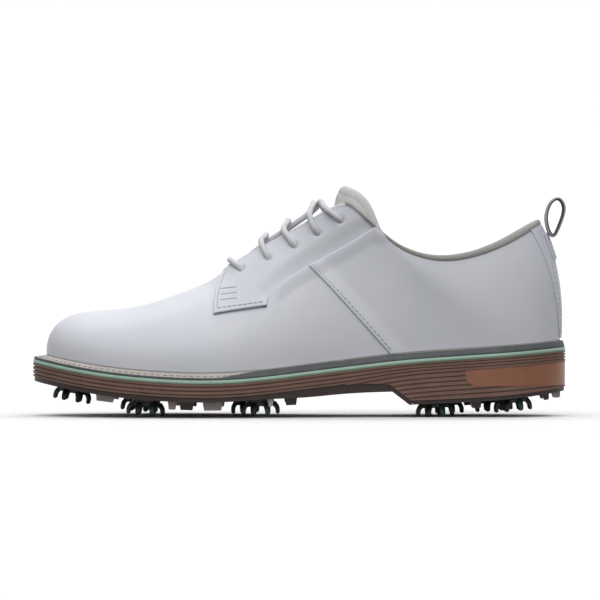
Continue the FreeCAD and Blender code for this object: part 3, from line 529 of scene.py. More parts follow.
def paint(material, *names):
    for name in names:
        nodes[name].data.materials.clear()
        nodes[name].data.materials.append(material)


paint(WELT, "welt")
paint(MINT, "welt_bead")
paint(BROWN, "midsole", "heel_block")
paint(TAN, "heel_inlay")
paint(DARK, "outsole", "heel_top_lift")
paint(LUG_LIGHT, "traction_lugs_light")
paint(LUG_DARK, "traction_lugs_dark")
paint(CLEAT_BLACK, "cleat_sockets", *[f"cleat_{i}_post" for i in range(1, 10)])
paint(METAL, "eyelet_rings_lateral", "eyelet_rings_medial", "shank")
paint(BOARD, "insole_board", "cork_filler")
paint(FOAM, "toe_puff", "heel_counter")
paint(LACE, "lace_aglet_lateral", "lace_aglet_medial")

# ------------------------------------------------------------
# Upper leather
# ------------------------------------------------------------
FRONT_EDGE = [(-48.2, 57.4), (-47.6, 66.0), (-45.6, 75.0), (-41.0, 84.5), (-38.4, 88.6)]
TAB_BOTTOM = [(-48.2, 57.4), (-38.0, 59.2), (-28.0, 60.8), (-18.2, 62.3)]
STAY_LINE = [
    (-18.2, 62.3), (-17.6, 66.5), (-14.2, 71.7), (-9.9, 75.4), (6.1, 85.2), (18.4, 92.3), (30.6, 99.3),
    (39.0, 104.7), (43.6, 107.6),
]
STAY_HEIGHT = LAYER_GAP + FACING_THICK
REAR_W = 9.82
STAY_TOP_W = 8.75
SEAM_LAP = 0.22
PANEL_THICK = 1.3
STAY_THICK = 1.5

line_xz = resample(STAY_LINE, 240)
line_w, line_t = from_side(line_xz[:, 0], line_xz[:, 1])
line_w = -line_w
order = np.argsort(line_w)
LINE_W, LINE_T = line_w[order], line_t[order]
TAB_RIGHT_W = LINE_W[0]


def line_height(w):
    """Height t of the lower edge of the lace stay at a station."""
    return np.where(w > REAR_W, 1.0, np.interp(w, LINE_W, LINE_T))


def seam(t):
    """Station of the front edge of a quarter."""
    return 8.55 - 1.65 * t


def line_points(side):
    return rib(side * line_w, line_t)


def slow_noise(points, scale, seed):
    """Soft unevenness of hand-lasted leather, from a few fixed waves."""
    rng = np.random.default_rng(seed)
    out = np.zeros(points.shape[:-1])
    for _ in range(7):
        way = rng.normal(size=3)
        out += np.sin(points @ (way / np.linalg.norm(way)) * (2 * np.pi / (scale * rng.uniform(0.7, 1.6)))
                      + rng.uniform(0, 6.28))
    return out / 7


def close_to_edge(count):
    """Shares from 0 to 1 that crowd towards 1."""
    q = np.linspace(0, 1, count)
    return 1 - (1 - q) ** 1.5


def under_tab(w):
    """Upper limit of the vamp: the throat in front, the stay's lower edge behind the tab."""
    blend = smooth(TAB_RIGHT_W - 0.55, TAB_RIGHT_W - 0.05, w)
    return 1.0 + (line_height(np.maximum(w, TAB_RIGHT_W)) - 1.0) * blend


def leather_grid(side, W, T, raised, seam_edge):
    """Outer points of a panel: its folded edge rises over the lace stay, and an edge may roll at the seam."""
    base = rib(side * W, T)
    line = line_points(side)
    d = near(base, line)
    along = smooth(TAB_RIGHT_W + 0.02, TAB_RIGHT_W + 0.4, W)
    lift = 1.5 * (1 - smooth(0.8, 9.0, d)) * along
    height = lift + roll(d, 1.0) * along + 0.12 * slow_noise(base, 34, 3)
    height = height * smooth(0.0, 0.06, T)
    if seam_edge is not None:
        ds = near(base, seam_edge)
        height = height + 1.15 * (1 - smooth(1.0, 10.0, ds)) + roll(ds, 0.9) + groove(ds, 1.3, 0.5, 0.25)
    return skin(side * W, T, height + raised)


def make_vamp(side):
    rows_b = close_to_edge(110)
    a = np.linspace(0, 1, 120)[:, None]
    W = np.broadcast_to(THROAT * a, (120, 110))
    T = np.broadcast_to(rows_b[None, :], (120, 110))
    first = leather_grid(side, W, T, 0.0, None)
    a = np.linspace(0, 1, 150)[1:, None]
    b = rows_b[None, :]
    T = b + 0 * a
    for _ in range(30):
        W = THROAT + (seam(T) + SEAM_LAP - THROAT) * a
        T = b * under_tab(W)
    second = leather_grid(side, W, T, 0.0, None)
    return np.concatenate([first, second])


def finish_piece(made, body="shoe", *replaced, slot=None):
    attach(made, body)
    if replaced:
        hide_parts(*replaced)
    return made


def thicken(made, thickness):
    solid = made.modifiers.new("thickness", "SOLIDIFY")
    solid.thickness = thickness * MM
    solid.offset = -1
    return made


def even_toe(outer):
    """Evens out the spot of the toe from which the rows fan out."""
    pole, up = rib(0.0, 1.0), normal(0.0, 1.0)
    away = outer - pole
    share = 1 - smooth(2.0, 6.0, np.linalg.norm(away, axis=-1))
    return outer - up * ((away @ up) * share)[..., None]


def vamp():
    left, right = make_vamp(-1), make_vamp(1)
    outer = even_toe(np.concatenate([left[::-1], right[1:]]))
    faces = sheet_faces(*outer.shape[:2], flip=True)
    made = add("vamp_leather", outer.reshape(-1, 3), faces, LEATHER, arc_uv(outer))
    weld = made.modifiers.new("centre_line", "WELD")
    weld.merge_threshold = 0.15 * MM
    return finish_piece(thicken(made, PANEL_THICK), "shoe", "vamp", slot="white_leather")


def quarter(side, name):
    na, nb = 230, 120
    a = np.linspace(0, 1, na)[:, None] ** 1.25
    b = close_to_edge(nb)[None, :]
    T = b + 0 * a
    for _ in range(30):
        start = seam(T)
        W = start + (HEEL - 0.01 - start) * a
        T = b * line_height(W)
    t = np.linspace(0, 1, 400)
    t = t[t <= np.interp(seam(t), LINE_W, LINE_T) + 0.002]
    seam_edge = rib(side * seam(t), t)
    outer = leather_grid(side, W, T, 0.15, seam_edge)
    made = add(name, outer.reshape(-1, 3), sheet_faces(na, nb, flip=side > 0), LEATHER, arc_uv(outer))
    return thicken(made, PANEL_THICK)


def stay_grid():
    """Stations and heights of the lace stay, blended between its four borders in side view."""
    na, nb = 270, 84
    front = resample(FRONT_EDGE, 200)
    w_front, _ = from_side(*front[-1])
    top_w = np.linspace(-float(w_front), STAY_TOP_W, 200)
    bottom = np.concatenate([resample(TAB_BOTTOM, 80)[:-1], resample(STAY_LINE, 260)])
    top = top_point(-top_w)[:, [0, 2]]
    top[0] = front[-1]
    rear = top_point(-np.linspace(REAR_W, STAY_TOP_W, 80))[:, [0, 2]]
    bottom[-1] = rear[0]

    def along(points, count):
        s = np.r_[0, np.cumsum(np.linalg.norm(np.diff(points, axis=0), axis=1))]
        at = np.linspace(0, s[-1], count)
        return np.stack([np.interp(at, s, points[:, c]) for c in range(2)], -1)

    c0, c1 = along(bottom, na), along(top, na)
    d0, d1 = along(front, nb), along(rear, nb)
    u = np.linspace(0, 1, na)[:, None, None]
    v = np.linspace(0, 1, nb)[None, :, None]
    ruled = (1 - v) * c0[:, None] + v * c1[:, None] + (1 - u) * d0[None] + u * d1[None]
    corners = ((1 - u) * (1 - v) * c0[0] + u * (1 - v) * c0[-1] + (1 - u) * v * c1[0] + u * v * c1[-1])
    xz = ruled - corners
    W, T = from_side(xz[..., 0], xz[..., 1])
    T[:, -1] = 1.0
    return -W, T


STAY_W, STAY_T = stay_grid()
EYELETS = (5.98, 6.66, 7.33, 7.95, 8.6)
BARS = (5.85, 6.66, 7.25, 7.95)


def eyelet(side, row):
    """Place of an eyelet, 9 mm below the edge of the throat."""
    w = EYELETS[row]
    ts = np.linspace(1, 0.6, 401)
    p = rib(np.full_like(ts, w), ts)
    i = int(np.argmax(np.linalg.norm(p - p[0], axis=1) >= 9.0))
    return side * w, ts[i]


def lace_stay(side, name):
    base = rib(side * STAY_W, STAY_T)
    line = line_points(side)
    d_line = near(base, line)
    w, t = from_side(*resample(TAB_BOTTOM, 120).T)
    bottom = rib(-side * w, t)
    free = near(base, np.concatenate([base[0], bottom, base[:, -1], base[-1]]))
    below = smooth(62.0, 72.0, base[..., 2])
    height = STAY_HEIGHT - 2.4 * (1 - smooth(0.0, 11.0, d_line)) * below
    height = height + roll(free, 0.8) + groove(free, 2.3, 0.5, 0.2) + 0.08 * slow_noise(base, 30, 5)
    holes = [rib(*eyelet(side, k)) for k in range(5)]
    gap = np.min([np.linalg.norm(base - h, axis=-1) for h in holes], axis=0)
    height = height - 0.45 * (1 - smooth(1.9, 3.6, gap)) - 1.1 * (1 - smooth(1.3, 2.1, gap))
    outer = skin(side * STAY_W, STAY_T, height)
    na, nb = outer.shape[:2]
    made = add(name, outer.reshape(-1, 3), sheet_faces(na, nb, flip=side > 0), LEATHER, arc_uv(outer))
    return thicken(made, STAY_THICK)


vamp()
for side, name in ((-1, "lateral"), (1, "medial")):
    finish_piece(quarter(side, f"quarter_leather_{name}"), "shoe", f"quarter_{name}", slot="white_leather")
    finish_piece(lace_stay(side, f"lace_stay_{name}"), "shoe", f"facing_{name}", slot="white_leather")

# ------------------------------------------------------------
# Seams
# ------------------------------------------------------------
def on_leather(side, xz, height, count=120):
    """Path on the upper, given by its corners in side view, with its normals."""
    w, t = from_side(*resample(xz, count).T)
    return skin(-side * w, t, np.full(count, height)), normal(-side * w, t)


def sew_upper(side, name):
    t = np.linspace(0.03, 0.8, 300)
    w = seam(t) + 0.085
    keep = t < np.interp(w, LINE_W, LINE_T) - 0.02
    w, t = side * w[keep], t[keep]
    seam_path = skin(w, t, np.full(len(t), 1.08))
    stitches(f"seam_stitches_{name}", seam_path, normal(w, t), THREAD_DARK, 2.1, 1.0, 0.3)
    top = STAY_HEIGHT + 0.1
    rows = {
        "tab_bottom": [(-45.6, 60.2), (-36.0, 61.8), (-28.0, 63.0), (-20.5, 64.2)],
        "tab_front": [(-45.7, 61.0), (-45.3, 66.0), (-43.4, 74.6), (-39.6, 82.5)],
    }
    for row, xz in rows.items():
        path, up = on_leather(side, xz, top)
        stitches(f"{row}_stitches_{name}", path, up, THREAD, 1.9, 0.8, 0.22)
    for k, z in enumerate((64.8, 67.9, 71.0)):
        xz = [(-43.6, z), (-34.8, z + 1.2)]
        path, up = on_leather(side, xz, top + 0.1, 40)
        stitches(f"bar_tack_{k}_{name}", path, up, THREAD, 0.8, 0.3, 0.3)
    t = np.linspace(0.06, 0.64, 200)
    w = np.full(len(t), side * 12.8)
    heel_path = skin(w, t, np.full(len(t), 1.1))
    stitches(f"backstay_stitches_{name}", heel_path, normal(w, t), THREAD_DARK, 2.0, 1.0, 0.22)


for side, name in ((-1, "lateral"), (1, "medial")):
    sew_upper(side, name)


def backstay():
    W, T = np.meshgrid(np.linspace(12.72, 13.28, 40), np.linspace(0.02, 0.985, 170), indexing="ij")
    base = rib(W, T)
    rim = np.concatenate([base[0], base[-1], base[:, -1]])
    d = near(base, rim)
    outer = skin(W, T, 1.15 + roll(d, 0.7) + groove(d, 1.5, 0.5, 0.2))
    made = add("heel_strip", outer.reshape(-1, 3), sheet_faces(*W.shape, flip=True), LEATHER, arc_uv(outer))
    finish_piece(thicken(made, 0.9), "shoe", "heel_backstay", slot="white_leather")


backstay()

# ------------------------------------------------------------
# Collar, linings and tongue
# ------------------------------------------------------------
def collar_binding():
    """Folded tape over the topline, tapering out towards the top of the lace stays."""
    shape = [(0.3, -1.7), (0.9, -1.5), (1.25, -0.9), (1.35, 0.1), (1.15, 1.0), (0.6, 1.7), (-0.4, 2.2),
             (-1.6, 2.45), (-3.2, 2.55), (-4.8, 2.3), (-6.0, 1.6), (-6.8, 0.4), (-7.0, -1.4),
             (-6.8, -3.4), (-6.2, -4.4)]
    n = resample(shape, 34)
    w = np.linspace(8.95, 26 - 8.95, 420)
    s = np.minimum(w, 26 - w)
    full = smooth(8.95, 9.9, s)
    out = normal(w, np.full_like(w, 1.0))
    up = unit(unit(rib(w, np.full_like(w, 1.0)) - rib(w, np.full_like(w, 0.99))) + np.array([0, 0, 0.8]))
    base = rib(w, np.full_like(w, 1.0))
    lift = (1.9 * (1 - smooth(9.5, 9.95, s)))[:, None, None]
    wide = (0.42 + 0.58 * full)[:, None, None]
    tall = (0.7 + 0.3 * full)[:, None, None]
    grid = base[:, None] + out[:, None] * (lift + n[None, :, :1] * wide) + up[:, None] * n[None, :, 1:] * tall
    faces = sheet_faces(*grid.shape[:2], flip=True)
    made = add("topline_binding", grid.reshape(-1, 3), faces, BINDING, arc_uv(grid))
    finish_piece(thicken(made, 0.5), "shoe", "collar_binding", slot="binding")


def collar_lining():
    W, T = np.meshgrid(np.linspace(7.05, 26 - 7.05, 300), np.linspace(0.03, 0.985, 90), indexing="ij")
    s = np.minimum(W, 26 - W)
    collar = smooth(9.0, 9.8, s) * smooth(0.55, 0.72, T)
    puff = smooth(9.2, 10.2, s) * np.sin(np.pi * smooth(0.58, 1.0, T))
    depth = -LINING_DEPTH - 2.0 * collar - 1.3 * puff
    inner = skin(W, T, depth)
    faces = sheet_faces(*W.shape, flip=True)
    made = add("collar_lining_pad", inner.reshape(-1, 3), faces, LINING, arc_uv(inner))
    thicken(made, 0.9)
    finish_piece(made, "shoe", "quarter_lining", "collar_padding", slot="lining")


def toe_lining():
    a = np.linspace(-1, 1, 160)[:, None]
    b = np.linspace(0, 1, 60)[None, :]
    T = b + 0 * a
    W = a * (6.9 - 0.6 * T)
    inner = skin(W, T, np.full(W.shape, -2.75))
    made = add("vamp_lining_cloth", inner.reshape(-1, 3), sheet_faces(*W.shape), LINING, arc_uv(inner))
    finish_piece(thicken(made, 0.8), "shoe", "vamp_lining", slot="lining")


def bridge(w, q, offset):
    """Point of the arch over the throat, q from -1 to 1, as in the CAD model."""
    def arch(station, across):
        low, high = top_point(-station), top_point(station)
        share = 0.10 + 0.24 * smooth(5.8, 6.8, w)
        rise = share * np.linalg.norm(top_point(w) - top_point(-w)) / 2
        return low + (high - low) * ((across + 1) / 2) + np.array([0, 0, rise * (1 - across * across)])

    h = 0.01
    across, along = arch(w, q + h) - arch(w, q - h), arch(w + h, q) - arch(w - h, q)
    return arch(w, q) + unit(np.cross(along, across)) * offset


def tongue_row(w, depth, v):
    """Row across the tongue: its crown rises into the arch of the throat, its wings reach back."""
    rise = smooth(8.3, 9.05, w)
    crown = 12.8 * rise - depth
    wing = w + 0.8 * rise
    shares = [-1.0, -0.6, 0.0, 0.6, 1.0]
    corners = np.array([skin(-wing, 0.58, -depth), skin(-wing, 0.88, -depth), bridge(w, 0, crown),
                        skin(wing, 0.88, -depth), skin(wing, 0.58, -depth)])
    row = np.stack([spline(shares, corners[:, c])(v) for c in range(3)], -1)
    bulge = 4.5 * rise * np.sin(np.pi * np.minimum(1, np.abs(v) / 0.6)) ** 2
    return row + np.array([0.81, 0, 0.58]) * bulge[:, None]


def grid_normals(grid):
    return unit(np.cross(np.gradient(grid, axis=0), np.gradient(grid, axis=1)))


def tongue():
    """Padded tongue: a pillow with rounded edges whose top fills the arch of the throat."""
    v = np.linspace(-1, 1, 120)
    middle = np.array([tongue_row(w, 12.4, v) for w in np.linspace(5.7, 9.05, 150)])
    rim = np.concatenate([middle[-1], middle[:, 0], middle[:, -1]])
    d = near(middle, rim)
    r = 2.9
    half = np.sqrt(np.clip(r**2 - np.clip(r - d, 0, r) ** 2, 0.0, None))
    half = half + groove(d, 5.0, 1.1, 0.4)
    n = grid_normals(middle)
    n = -n if n[75, 60, 2] < 0 else n
    outer, inner = middle + n * half[..., None], middle - n * half[..., None]
    made = thick("tongue_pad", outer, inner, MESH)
    finish_piece(made, "shoe", "tongue", "tongue_padding", slot="white_leather")


collar_binding()
collar_lining()
toe_lining()
tongue()

# ------------------------------------------------------------
# Lace: the CAD route's corners as a smooth curve, then a braided tube along it
# ------------------------------------------------------------
LACE_RADIUS = 1.7
LACE_SIDES = 28


def lace_route():
    above = LAYER_GAP + FACING_THICK + LACE_RADIUS + 0.1
    below = -LINING_DEPTH - LINING_THICK - LACE_RADIUS - 0.8
    route = []

    def through(side, row, outwards):
        w, t = eyelet(side, row)
        ends = [skin(w, t, below), skin(w, t, above)]
        route.extend(ends if outwards else ends[::-1])

    def over_edge(side, w):
        return skin(side * w, 0.998, above + 0.5) + np.array([0, 0, 1.6 * smooth(5.9, 6.8, w)])

    def bar(row, start_side):
        w = BARS[row]
        route.append(over_edge(start_side, w))
        if row > 0:
            route.append(bridge(w + 0.1, start_side * 0.7, 2.9))
            route.append(bridge(w + 0.14, 0, 2.3))
            route.append(bridge(w + 0.1, -start_side * 0.7, 2.9))
        route.append(over_edge(-start_side, w))

    def diagonal(row):
        w0, w1 = EYELETS[row + 1], EYELETS[row]
        for share, q in ((0.4, -0.8), (0.62, 0.0), (0.8, 0.8)):
            route.append(bridge(w0 + (w1 - w0) * share, q, below))

    def tuck(side):
        points = []
        for w in (6.25, 6.8, 7.35, 7.95):
            half = top_point(w)[1] - centre_y(top_point(w)[0])
            points.append(bridge(w, side * 2.1 / half, -1.7))
        points.append(bridge(8.12, side * 0.25, -0.6))
        points.append(bridge(8.3, side * 0.62, 2.9))
        points.append(over_edge(side, 8.36))
        return points

    route.extend(tuck(-1))
    through(-1, 4, False)
    for row in (3, 2, 1):
        diagonal(row)
        through(1, row, True)
        bar(row, 1)
        through(-1, row, False)
    through(-1, 0, True)
    bar(0, -1)
    through(1, 0, False)
    for w in (6.2, 6.9, 7.7, 8.3):
        route.append(skin(w, eyelet(1, 2)[1] - 0.075, below))
    through(1, 4, True)
    route.extend(tuck(1)[::-1])
    return np.array(route)


def smooth_line(route):
    """Centre line, in millimetres, of an order 3 NURBS curve along a route given in metres."""
    data = bpy.data.curves.new("lace_line", "CURVE")
    data.dimensions = "3D"
    part = data.splines.new("NURBS")
    part.points.add(len(route) - 1)
    for point, place in zip(part.points, route):
        point.co = (*[float(c) for c in place], 1.0)
    part.order_u = 3
    part.use_endpoint_u = True
    part.resolution_u = 24
    made = bpy.data.objects.new("lace_line", data)
    bpy.context.scene.collection.objects.link(made)
    mesh = made.to_mesh()
    line = np.array([v.co[:] for v in mesh.vertices]) / MM
    made.to_mesh_clear()
    bpy.data.objects.remove(made)
    return line


def lace():
    line = smooth_line(lace_route() * MM)
    s = np.r_[0, np.cumsum(np.linalg.norm(np.diff(line, axis=0), axis=1))]
    count = int(s[-1] / 0.42)
    at = np.linspace(0, s[-1], count)
    path = np.stack([np.interp(at, s, line[:, c]) for c in range(3)], -1)
    tangent = unit(np.gradient(path, axis=0))
    side = unit(np.cross(tangent[0], [0.1, 0.3, 0.9]))
    angle = np.linspace(0, 2 * np.pi, LACE_SIDES, endpoint=False)
    verts = np.empty((count, LACE_SIDES, 3))
    for i in range(count):
        side = unit(side - tangent[i] * (side @ tangent[i]))
        other = np.cross(tangent[i], side)
        turn = 2 * np.pi * at[i] / 7.0
        braid = np.maximum(np.abs(np.cos(4 * angle + turn * 4)), np.abs(np.cos(4 * angle - turn * 4)))
        r = LACE_RADIUS * (0.93 + 0.09 * (braid - 0.7) / 0.3)
        end = min(i, count - 1 - i)
        r = r * min(1.0, 0.6 + 0.1 * end)
        verts[i] = path[i] + r[:, None] * (np.cos(angle)[:, None] * side + np.sin(angle)[:, None] * other)
    faces = sheet_faces(count, LACE_SIDES, close_b=True)
    faces.append(tuple(range(LACE_SIDES))[::-1])
    faces.append(tuple(range((count - 1) * LACE_SIDES, count * LACE_SIDES)))
    uv = np.stack([np.repeat(at, LACE_SIDES), np.tile(angle * LACE_RADIUS, count)], -1)
    made = add("shoelace", verts.reshape(-1, 3), faces, LACE, uv)
    finish_piece(made, "shoe", "lace", slot="lace")


lace()

# ------------------------------------------------------------
# Heel pull loop
# ------------------------------------------------------------
LOOP_LINE = [
    (145.3, 102.8), (147.6, 105.6), (149.6, 110.5), (151.3, 116.0), (151.0, 121.0), (148.2, 123.9),
    (144.6, 122.2), (142.3, 118.0), (141.4, 113.0), (142.0, 108.4), (143.2, 104.9),
]


def closed_line(points, count):
    p = np.array(points, float)
    many = np.concatenate([p, p, p])
    s = np.r_[0, np.cumsum(np.linalg.norm(np.diff(many, axis=0), axis=1))]
    at = np.linspace(s[len(p)], s[2 * len(p)], count, endpoint=False)
    return np.stack([spline(s, many[:, c])(at) for c in range(2)], -1)


def pull_loop():
    count = 150
    line = closed_line(LOOP_LINE, count)
    way = unit(np.roll(line, -1, 0) - np.roll(line, 1, 0))
    out = np.stack([way[:, 1], -way[:, 0]], -1)
    half_w, half_t = 5.4, 0.86
    across = np.linspace(-1, 1, 15)
    flat = half_t * (1 - 0.3 * abs(across) ** 8)
    ribbed = flat + 0.04 * np.cos(across * 22)
    outer_half = list(zip(half_w * across, ribbed))
    inner_half = list(zip(half_w * across[::-1], -flat[::-1]))
    section = outer_half + [(half_w * 1.01, 0.0)] + inner_half + [(-half_w * 1.01, 0.0)]
    m = len(section)
    verts = np.empty((count, m, 3))
    for k, (y, o) in enumerate(section):
        verts[:, k, 0] = line[:, 0] + out[:, 0] * o
        verts[:, k, 1] = y
        verts[:, k, 2] = line[:, 1] + out[:, 1] * o
    s = np.arange(count) * 0.36
    uv = np.stack([np.repeat(s, m), np.tile([y for y, _ in section], count)], -1)
    made = add("pull_loop_webbing", verts.reshape(-1, 3),
               sheet_faces(count, m, close_a=True, close_b=True, flip=True), [LOOP_OUT, LOOP_IN], uv)
    inside = np.tile([1 if 15 <= k < 31 else 0 for k in range(m)], count)
    made.data.polygons.foreach_set("material_index", inside.astype(np.int32))
    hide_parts("pull_loop")
    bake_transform(made)


def loop_tab():
    """Folded end of the webbing, sewn flat on the backstay under the loop."""
    W, T = np.meshgrid(np.linspace(12.86, 13.14, 30), np.linspace(0.665, 0.9, 50), indexing="ij")
    base = rib(W, T)
    rim = np.concatenate([base[0], base[-1], base[:, 0]])
    d = near(base, rim)
    outer = skin(W, T, 2.3 + roll(d, 0.6) + groove(d, 1.6, 0.4, 0.2))
    faces = sheet_faces(*W.shape, flip=True)
    made = add("loop_tab_webbing", outer.reshape(-1, 3), faces, LEATHER, arc_uv(outer))
    finish_piece(thicken(made, 1.1), "shoe", "pull_loop_tab", slot="webbing")
    corners = [(12.89, 0.69), (13.11, 0.69), (13.11, 0.86), (12.89, 0.86), (12.89, 0.69)]
    ring = np.concatenate([np.linspace(a, b, 20) for a, b in zip(corners, corners[1:])])
    path = skin(ring[:, 0], ring[:, 1], np.full(len(ring), 2.3))
    stitches("loop_tab_stitches", path, normal(ring[:, 0], ring[:, 1]), THREAD, 1.8, 0.7, 0.25)


pull_loop()
loop_tab()

# ------------------------------------------------------------
# Footbed
# ------------------------------------------------------------
def bed_grid(count, across, inset, height):
    s = np.linspace(0, 13, count)
    lx, ly, _, _ = edge(-s, INSET(s) + inset)
    mx, my, _, _ = edge(s, INSET(s) + inset)
    q = np.linspace(0, 1, across)
    x = lx[:, None] * (1 - q) + mx[:, None] * q
    y = ly[:, None] * (1 - q) + my[:, None] * q
    return stack(x, y, height(x, np.abs(2 * q - 1)[None, :] + 0 * x))


def cup(x, reach):
    """Rise of the footbed's rim, highest round the heel."""
    return (0.6 + 1.6 * smooth(20, 110, x)) * smooth(0.72, 1.0, reach)


def footbed():
    foam_top = bed_grid(200, 60, 5.1, lambda x, r: FEATHER(x) + 6.9 + cup(x, r))
    foam_low = bed_grid(200, 60, 5.1, lambda x, r: FEATHER(x) + 2.05)
    foam = thick("footbed_foam_pad", foam_top[1:-1], foam_low[1:-1], FOAM)
    cover_top = bed_grid(200, 60, 5.3, lambda x, r: FEATHER(x) + 7.85 + cup(x, r) - 0.5 * smooth(0.9, 1.0, r))
    cover_low = bed_grid(200, 60, 5.3, lambda x, r: FEATHER(x) + 6.95 + cup(x, r))
    cover = thick("footbed_cover_cloth", cover_top[1:-1], cover_low[1:-1], COVER)
    for made, covered, name in ((foam, ("footbed_front", "footbed_rear"), "footbed_foam"),
                                (cover, ("footbed_cover_front", "footbed_cover_rear"), "footbed_cover")):
        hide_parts(*covered)
        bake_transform(made)


footbed()

# ------------------------------------------------------------
# Sole trim and cleats
# ------------------------------------------------------------
def rim_path(inset, drop):
    """Path round the sole, at an inset that changes along it and a depth, with its outward direction."""
    w = np.linspace(-HEEL, HEEL, 900)
    x, y, nx, ny = edge(w, inset(np.abs(wrap(w))))
    return stack(x, y, FEATHER(x) - drop), stack(nx, ny, 0 * nx)


WELT_SIDE = 0.9


def welt_stitches():
    path, out = rim_path(lambda s: WELT_SIDE + 0.52 * (INSET(s) - LEATHER_THICK - WELT_SIDE), 1.68)
    keep = path[:, 0] < 40
    for name, part in (("lateral", slice(0, 450)), ("medial", slice(450, 900))):
        k = keep[part]
        up = unit(out[part][k] + np.array([0, 0, 0.95]))
        stitches(f"welt_stitches_{name}", path[part][k] + up * 0.05, up, WELT_THREAD, 2.4, 1.3, 0.26)


def welt_shade():
    """Dark sheet between welt and bead. In front it is painted shade on the welt's recessed lower face;
    behind the ball of the foot it climbs over the whole welt, partly a dark rand and partly painted shade
    under the overhanging upper.
    """
    w = np.linspace(-HEEL, HEEL, 700)
    s = np.abs(w)
    x, y, nx, ny = edge(w, 0.0)
    # covered goes from 0 in front, where only the recess gets painted shade, to 1 behind, where the sheet
    # covers the whole welt.
    covered = smooth(-48, -22, EDGE_X(w))
    rows = []
    for k in np.linspace(0, 1, 9):
        start = 0.64 * (1 - covered)
        q = start + (1 - start) * k
        drop = 0.5 + 3.5 * q
        share = np.clip((drop - 0.5) / 2.6, 0, 1)
        inset = (INSET(s) - LEATHER_THICK) * (1 - share) + WELT_SIDE * share
        rows.append(stack(x - (inset - 0.12) * nx, y - (inset - 0.12) * ny, FEATHER(x) - drop + 0.1))
    grid = np.stack(rows, 1)
    made = add("rand_and_shade_strip", grid.reshape(-1, 3), sheet_faces(*grid.shape[:2], flip=True), RAND_AND_SHADE, arc_uv(grid))
    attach(thicken(made, 0.1), "shoe")


welt_stitches()
welt_shade()


def ring_mesh(profile):
    """Turned surface of a profile of radii and heights."""
    sides = 72
    angle = np.linspace(0, 2 * np.pi, sides, endpoint=False)
    p = np.array(profile, float)
    grid = stack(p[:, None, 0] * np.cos(angle), p[:, None, 0] * np.sin(angle), p[:, None, 1] + 0 * angle)
    return grid.reshape(-1, 3), sheet_faces(len(p), sides, close_b=True)


LEGS = 8
LEG_RINGS = 22
LEG_SIDES = 20


def leg_mesh(turn):
    """One splayed leg with a rounded foot, as rings of a flattened tube."""
    spine = resample([(8.1, -1.2), (9.7, -2.9), (10.4, -5.0), (10.3, -7.42)], LEG_RINGS)
    way = unit(np.gradient(spine, axis=0))
    out = np.stack([-way[:, 1], way[:, 0]], -1)
    s = np.linspace(0, 1, LEG_RINGS)
    wide = 2.05 - 0.75 * s
    deep = 1.25 - 0.35 * s
    close = np.sqrt(np.clip(1 - np.clip((s - 0.86) / 0.14, 0, 1) ** 2, 0.02, 1))
    angle = np.linspace(0, 2 * np.pi, LEG_SIDES, endpoint=False)
    square = lambda c: np.sign(c) * np.abs(c) ** 0.7
    tangential = (wide * close)[:, None] * square(np.cos(angle))
    radial = (deep * close)[:, None] * square(np.sin(angle))
    r = spine[:, :1] + out[:, :1] * radial
    z = spine[:, 1:] + out[:, 1:] * radial
    c, n = math.cos(turn), math.sin(turn)
    grid = stack(r * c - tangential * n, r * n + tangential * c, z)
    faces = sheet_faces(LEG_RINGS, LEG_SIDES, close_b=True)
    faces.append(tuple(range(LEG_SIDES))[::-1])
    faces.append(tuple(range((LEG_RINGS - 1) * LEG_SIDES, LEG_RINGS * LEG_SIDES)))
    return grid.reshape(-1, 3), faces


def cleat(index, joint):
    """Claw of one cleat: a dished hub and its legs, under the seat of its joint."""
    hub = [(9.35, -0.6), (9.5, -1.5), (9.3, -2.2), (8.8, -2.6), (7.7, -2.6), (7.3, -2.2), (6.9, -2.05),
           (4.9, -2.05), (4.6, -1.75), (2.5, -1.75), (2.2, -2.05), (0.05, -2.05)]
    verts, faces = ring_mesh(hub)
    shade = [1] * len(faces)
    verts = [verts]
    for k in range(LEGS):
        v, f = leg_mesh(2 * math.pi * (k + 0.5) / LEGS)
        start = sum(len(p) for p in verts)
        faces += [tuple(i + start for i in face) for face in f]
        shade += [k % 2] * len(f)
        verts.append(v)
    seat, axis = Vector(joint["pos_m"]), Vector(joint["axis"])
    turn = Vector((0, 0, -1)).rotation_difference(axis).to_matrix()
    points = np.concatenate(verts) @ np.array(turn).T + np.array(seat) * 1000
    points[:, 2] = np.maximum(points[:, 2], 0.0)
    made = add(f"cleat_{index}_legs", points, faces, [CLEAT_GREEN, CLEAT_BLACK])
    made.data.polygons.foreach_set("material_index", np.array(shade, np.int32))
    finish_piece(made, f"cleat_{index}", f"cleat_{index}_claw", slot="cleat_claw")


for index in range(1, 10):
    cleat(index, next(j for j in frame["joints"] if j["name"] == f"cleat_{index}_twist"))

# ------------------------------------------------------------
# Camera, light and floor
# ------------------------------------------------------------
def make_camera():
    data = bpy.data.cameras.new("camera")
    made = bpy.data.objects.new("camera", data)
    bpy.context.scene.collection.objects.link(made)
    distance, view_width = 2.2, 0.3402
    data.sensor_width = 36
    data.lens = data.sensor_width * distance / view_width
    made.location = (0.0006, -distance - 0.02, 0.0660)
    made.rotation_euler = (math.pi / 2, 0, 0)
    data.clip_start, data.clip_end = 0.05, 20
    bpy.context.scene.camera = made


def light(name, place, size, power, target=(0, 0, 0.05)):
    data = bpy.data.lights.new(name, "AREA")
    data.shape = "RECTANGLE"
    data.size, data.size_y = size
    data.energy = power
    made = bpy.data.objects.new(name, data)
    bpy.context.scene.collection.objects.link(made)
    made.location = place
    made.rotation_euler = (Vector(place) - Vector(target)).to_track_quat("Z", "Y").to_euler()


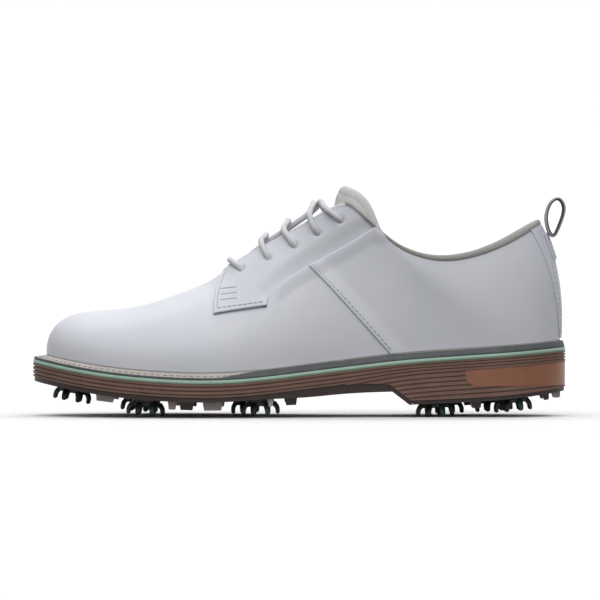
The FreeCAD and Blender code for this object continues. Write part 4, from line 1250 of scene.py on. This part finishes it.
def make_floor():
    """Pale sweep: a floor that curves up into a wall behind the shoe."""
    floor_look = Look("studio_white", srgb(250, 250, 250), srgb(246, 246, 247), 0.9, patch=2)
    profile = [(-3.0, 0.0), (1.6, 0.0)]
    for i in range(1, 13):
        angle = math.radians(90 * i / 12)
        profile.append((1.6 + 0.8 * math.sin(angle), 0.8 - 0.8 * math.cos(angle)))
    profile.append((2.4, 3.2))
    verts, faces = [], []
    for y, z in profile:
        verts += [(-4000, y * 1000, z * 1000 - 0.15), (4000, y * 1000, z * 1000 - 0.15)]
    for i in range(len(profile) - 1):
        faces.append((2 * i, 2 * i + 1, 2 * i + 3, 2 * i + 2))
    made = add("studio_floor", np.array(verts), faces, floor_look.material)
    made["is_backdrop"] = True
    made.visible_diffuse = False


def make_world():
    """White surroundings, brighter above than below."""
    world = bpy.data.worlds.new("studio")
    bpy.context.scene.world = world
    world.use_nodes = True
    back = world.node_tree.nodes["Background"]
    nodes_of = world.node_tree.nodes
    place = nodes_of.new("ShaderNodeTexCoord")
    parts = nodes_of.new("ShaderNodeSeparateXYZ")
    ramp = nodes_of.new("ShaderNodeMapRange")
    ramp.inputs["From Min"].default_value = -0.25
    ramp.inputs["From Max"].default_value = 0.6
    ramp.inputs["To Min"].default_value = 0.1
    ramp.inputs["To Max"].default_value = 0.52
    world.node_tree.links.new(place.outputs["Generated"], parts.inputs["Vector"])
    world.node_tree.links.new(parts.outputs["Z"], ramp.inputs["Value"])
    world.node_tree.links.new(ramp.outputs["Result"], back.inputs["Strength"])
    back.inputs["Color"].default_value = (1, 1, 1, 1)


def make_lights():
    light("top_softbox", (-0.2, -0.5, 1.2), (1.3, 1.0), 4.6)
    light("front_fill", (0.4, -1.9, 0.5), (1.4, 1.0), 3.2)
    light("rim", (0.6, 0.9, 1.0), (1.0, 0.6), 3)
    light("backdrop", (0.0, 1.2, 2.2), (3.0, 1.0), 45, target=(0, 2.4, 0.8))
    light("foreground", (0.0, -1.5, 1.6), (2.4, 0.8), 14, target=(0, -1.6, 0.0))


make_camera()
make_floor()
make_world()
make_lights()
bpy.context.scene.view_settings.view_transform = "Standard"
bpy.context.scene.view_settings.look = "None"

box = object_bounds()
sizes = {"cad": cad_box, "visual": box}
{key: [list(map(float, p)) for p in corners] for key, corners in sizes.items()}
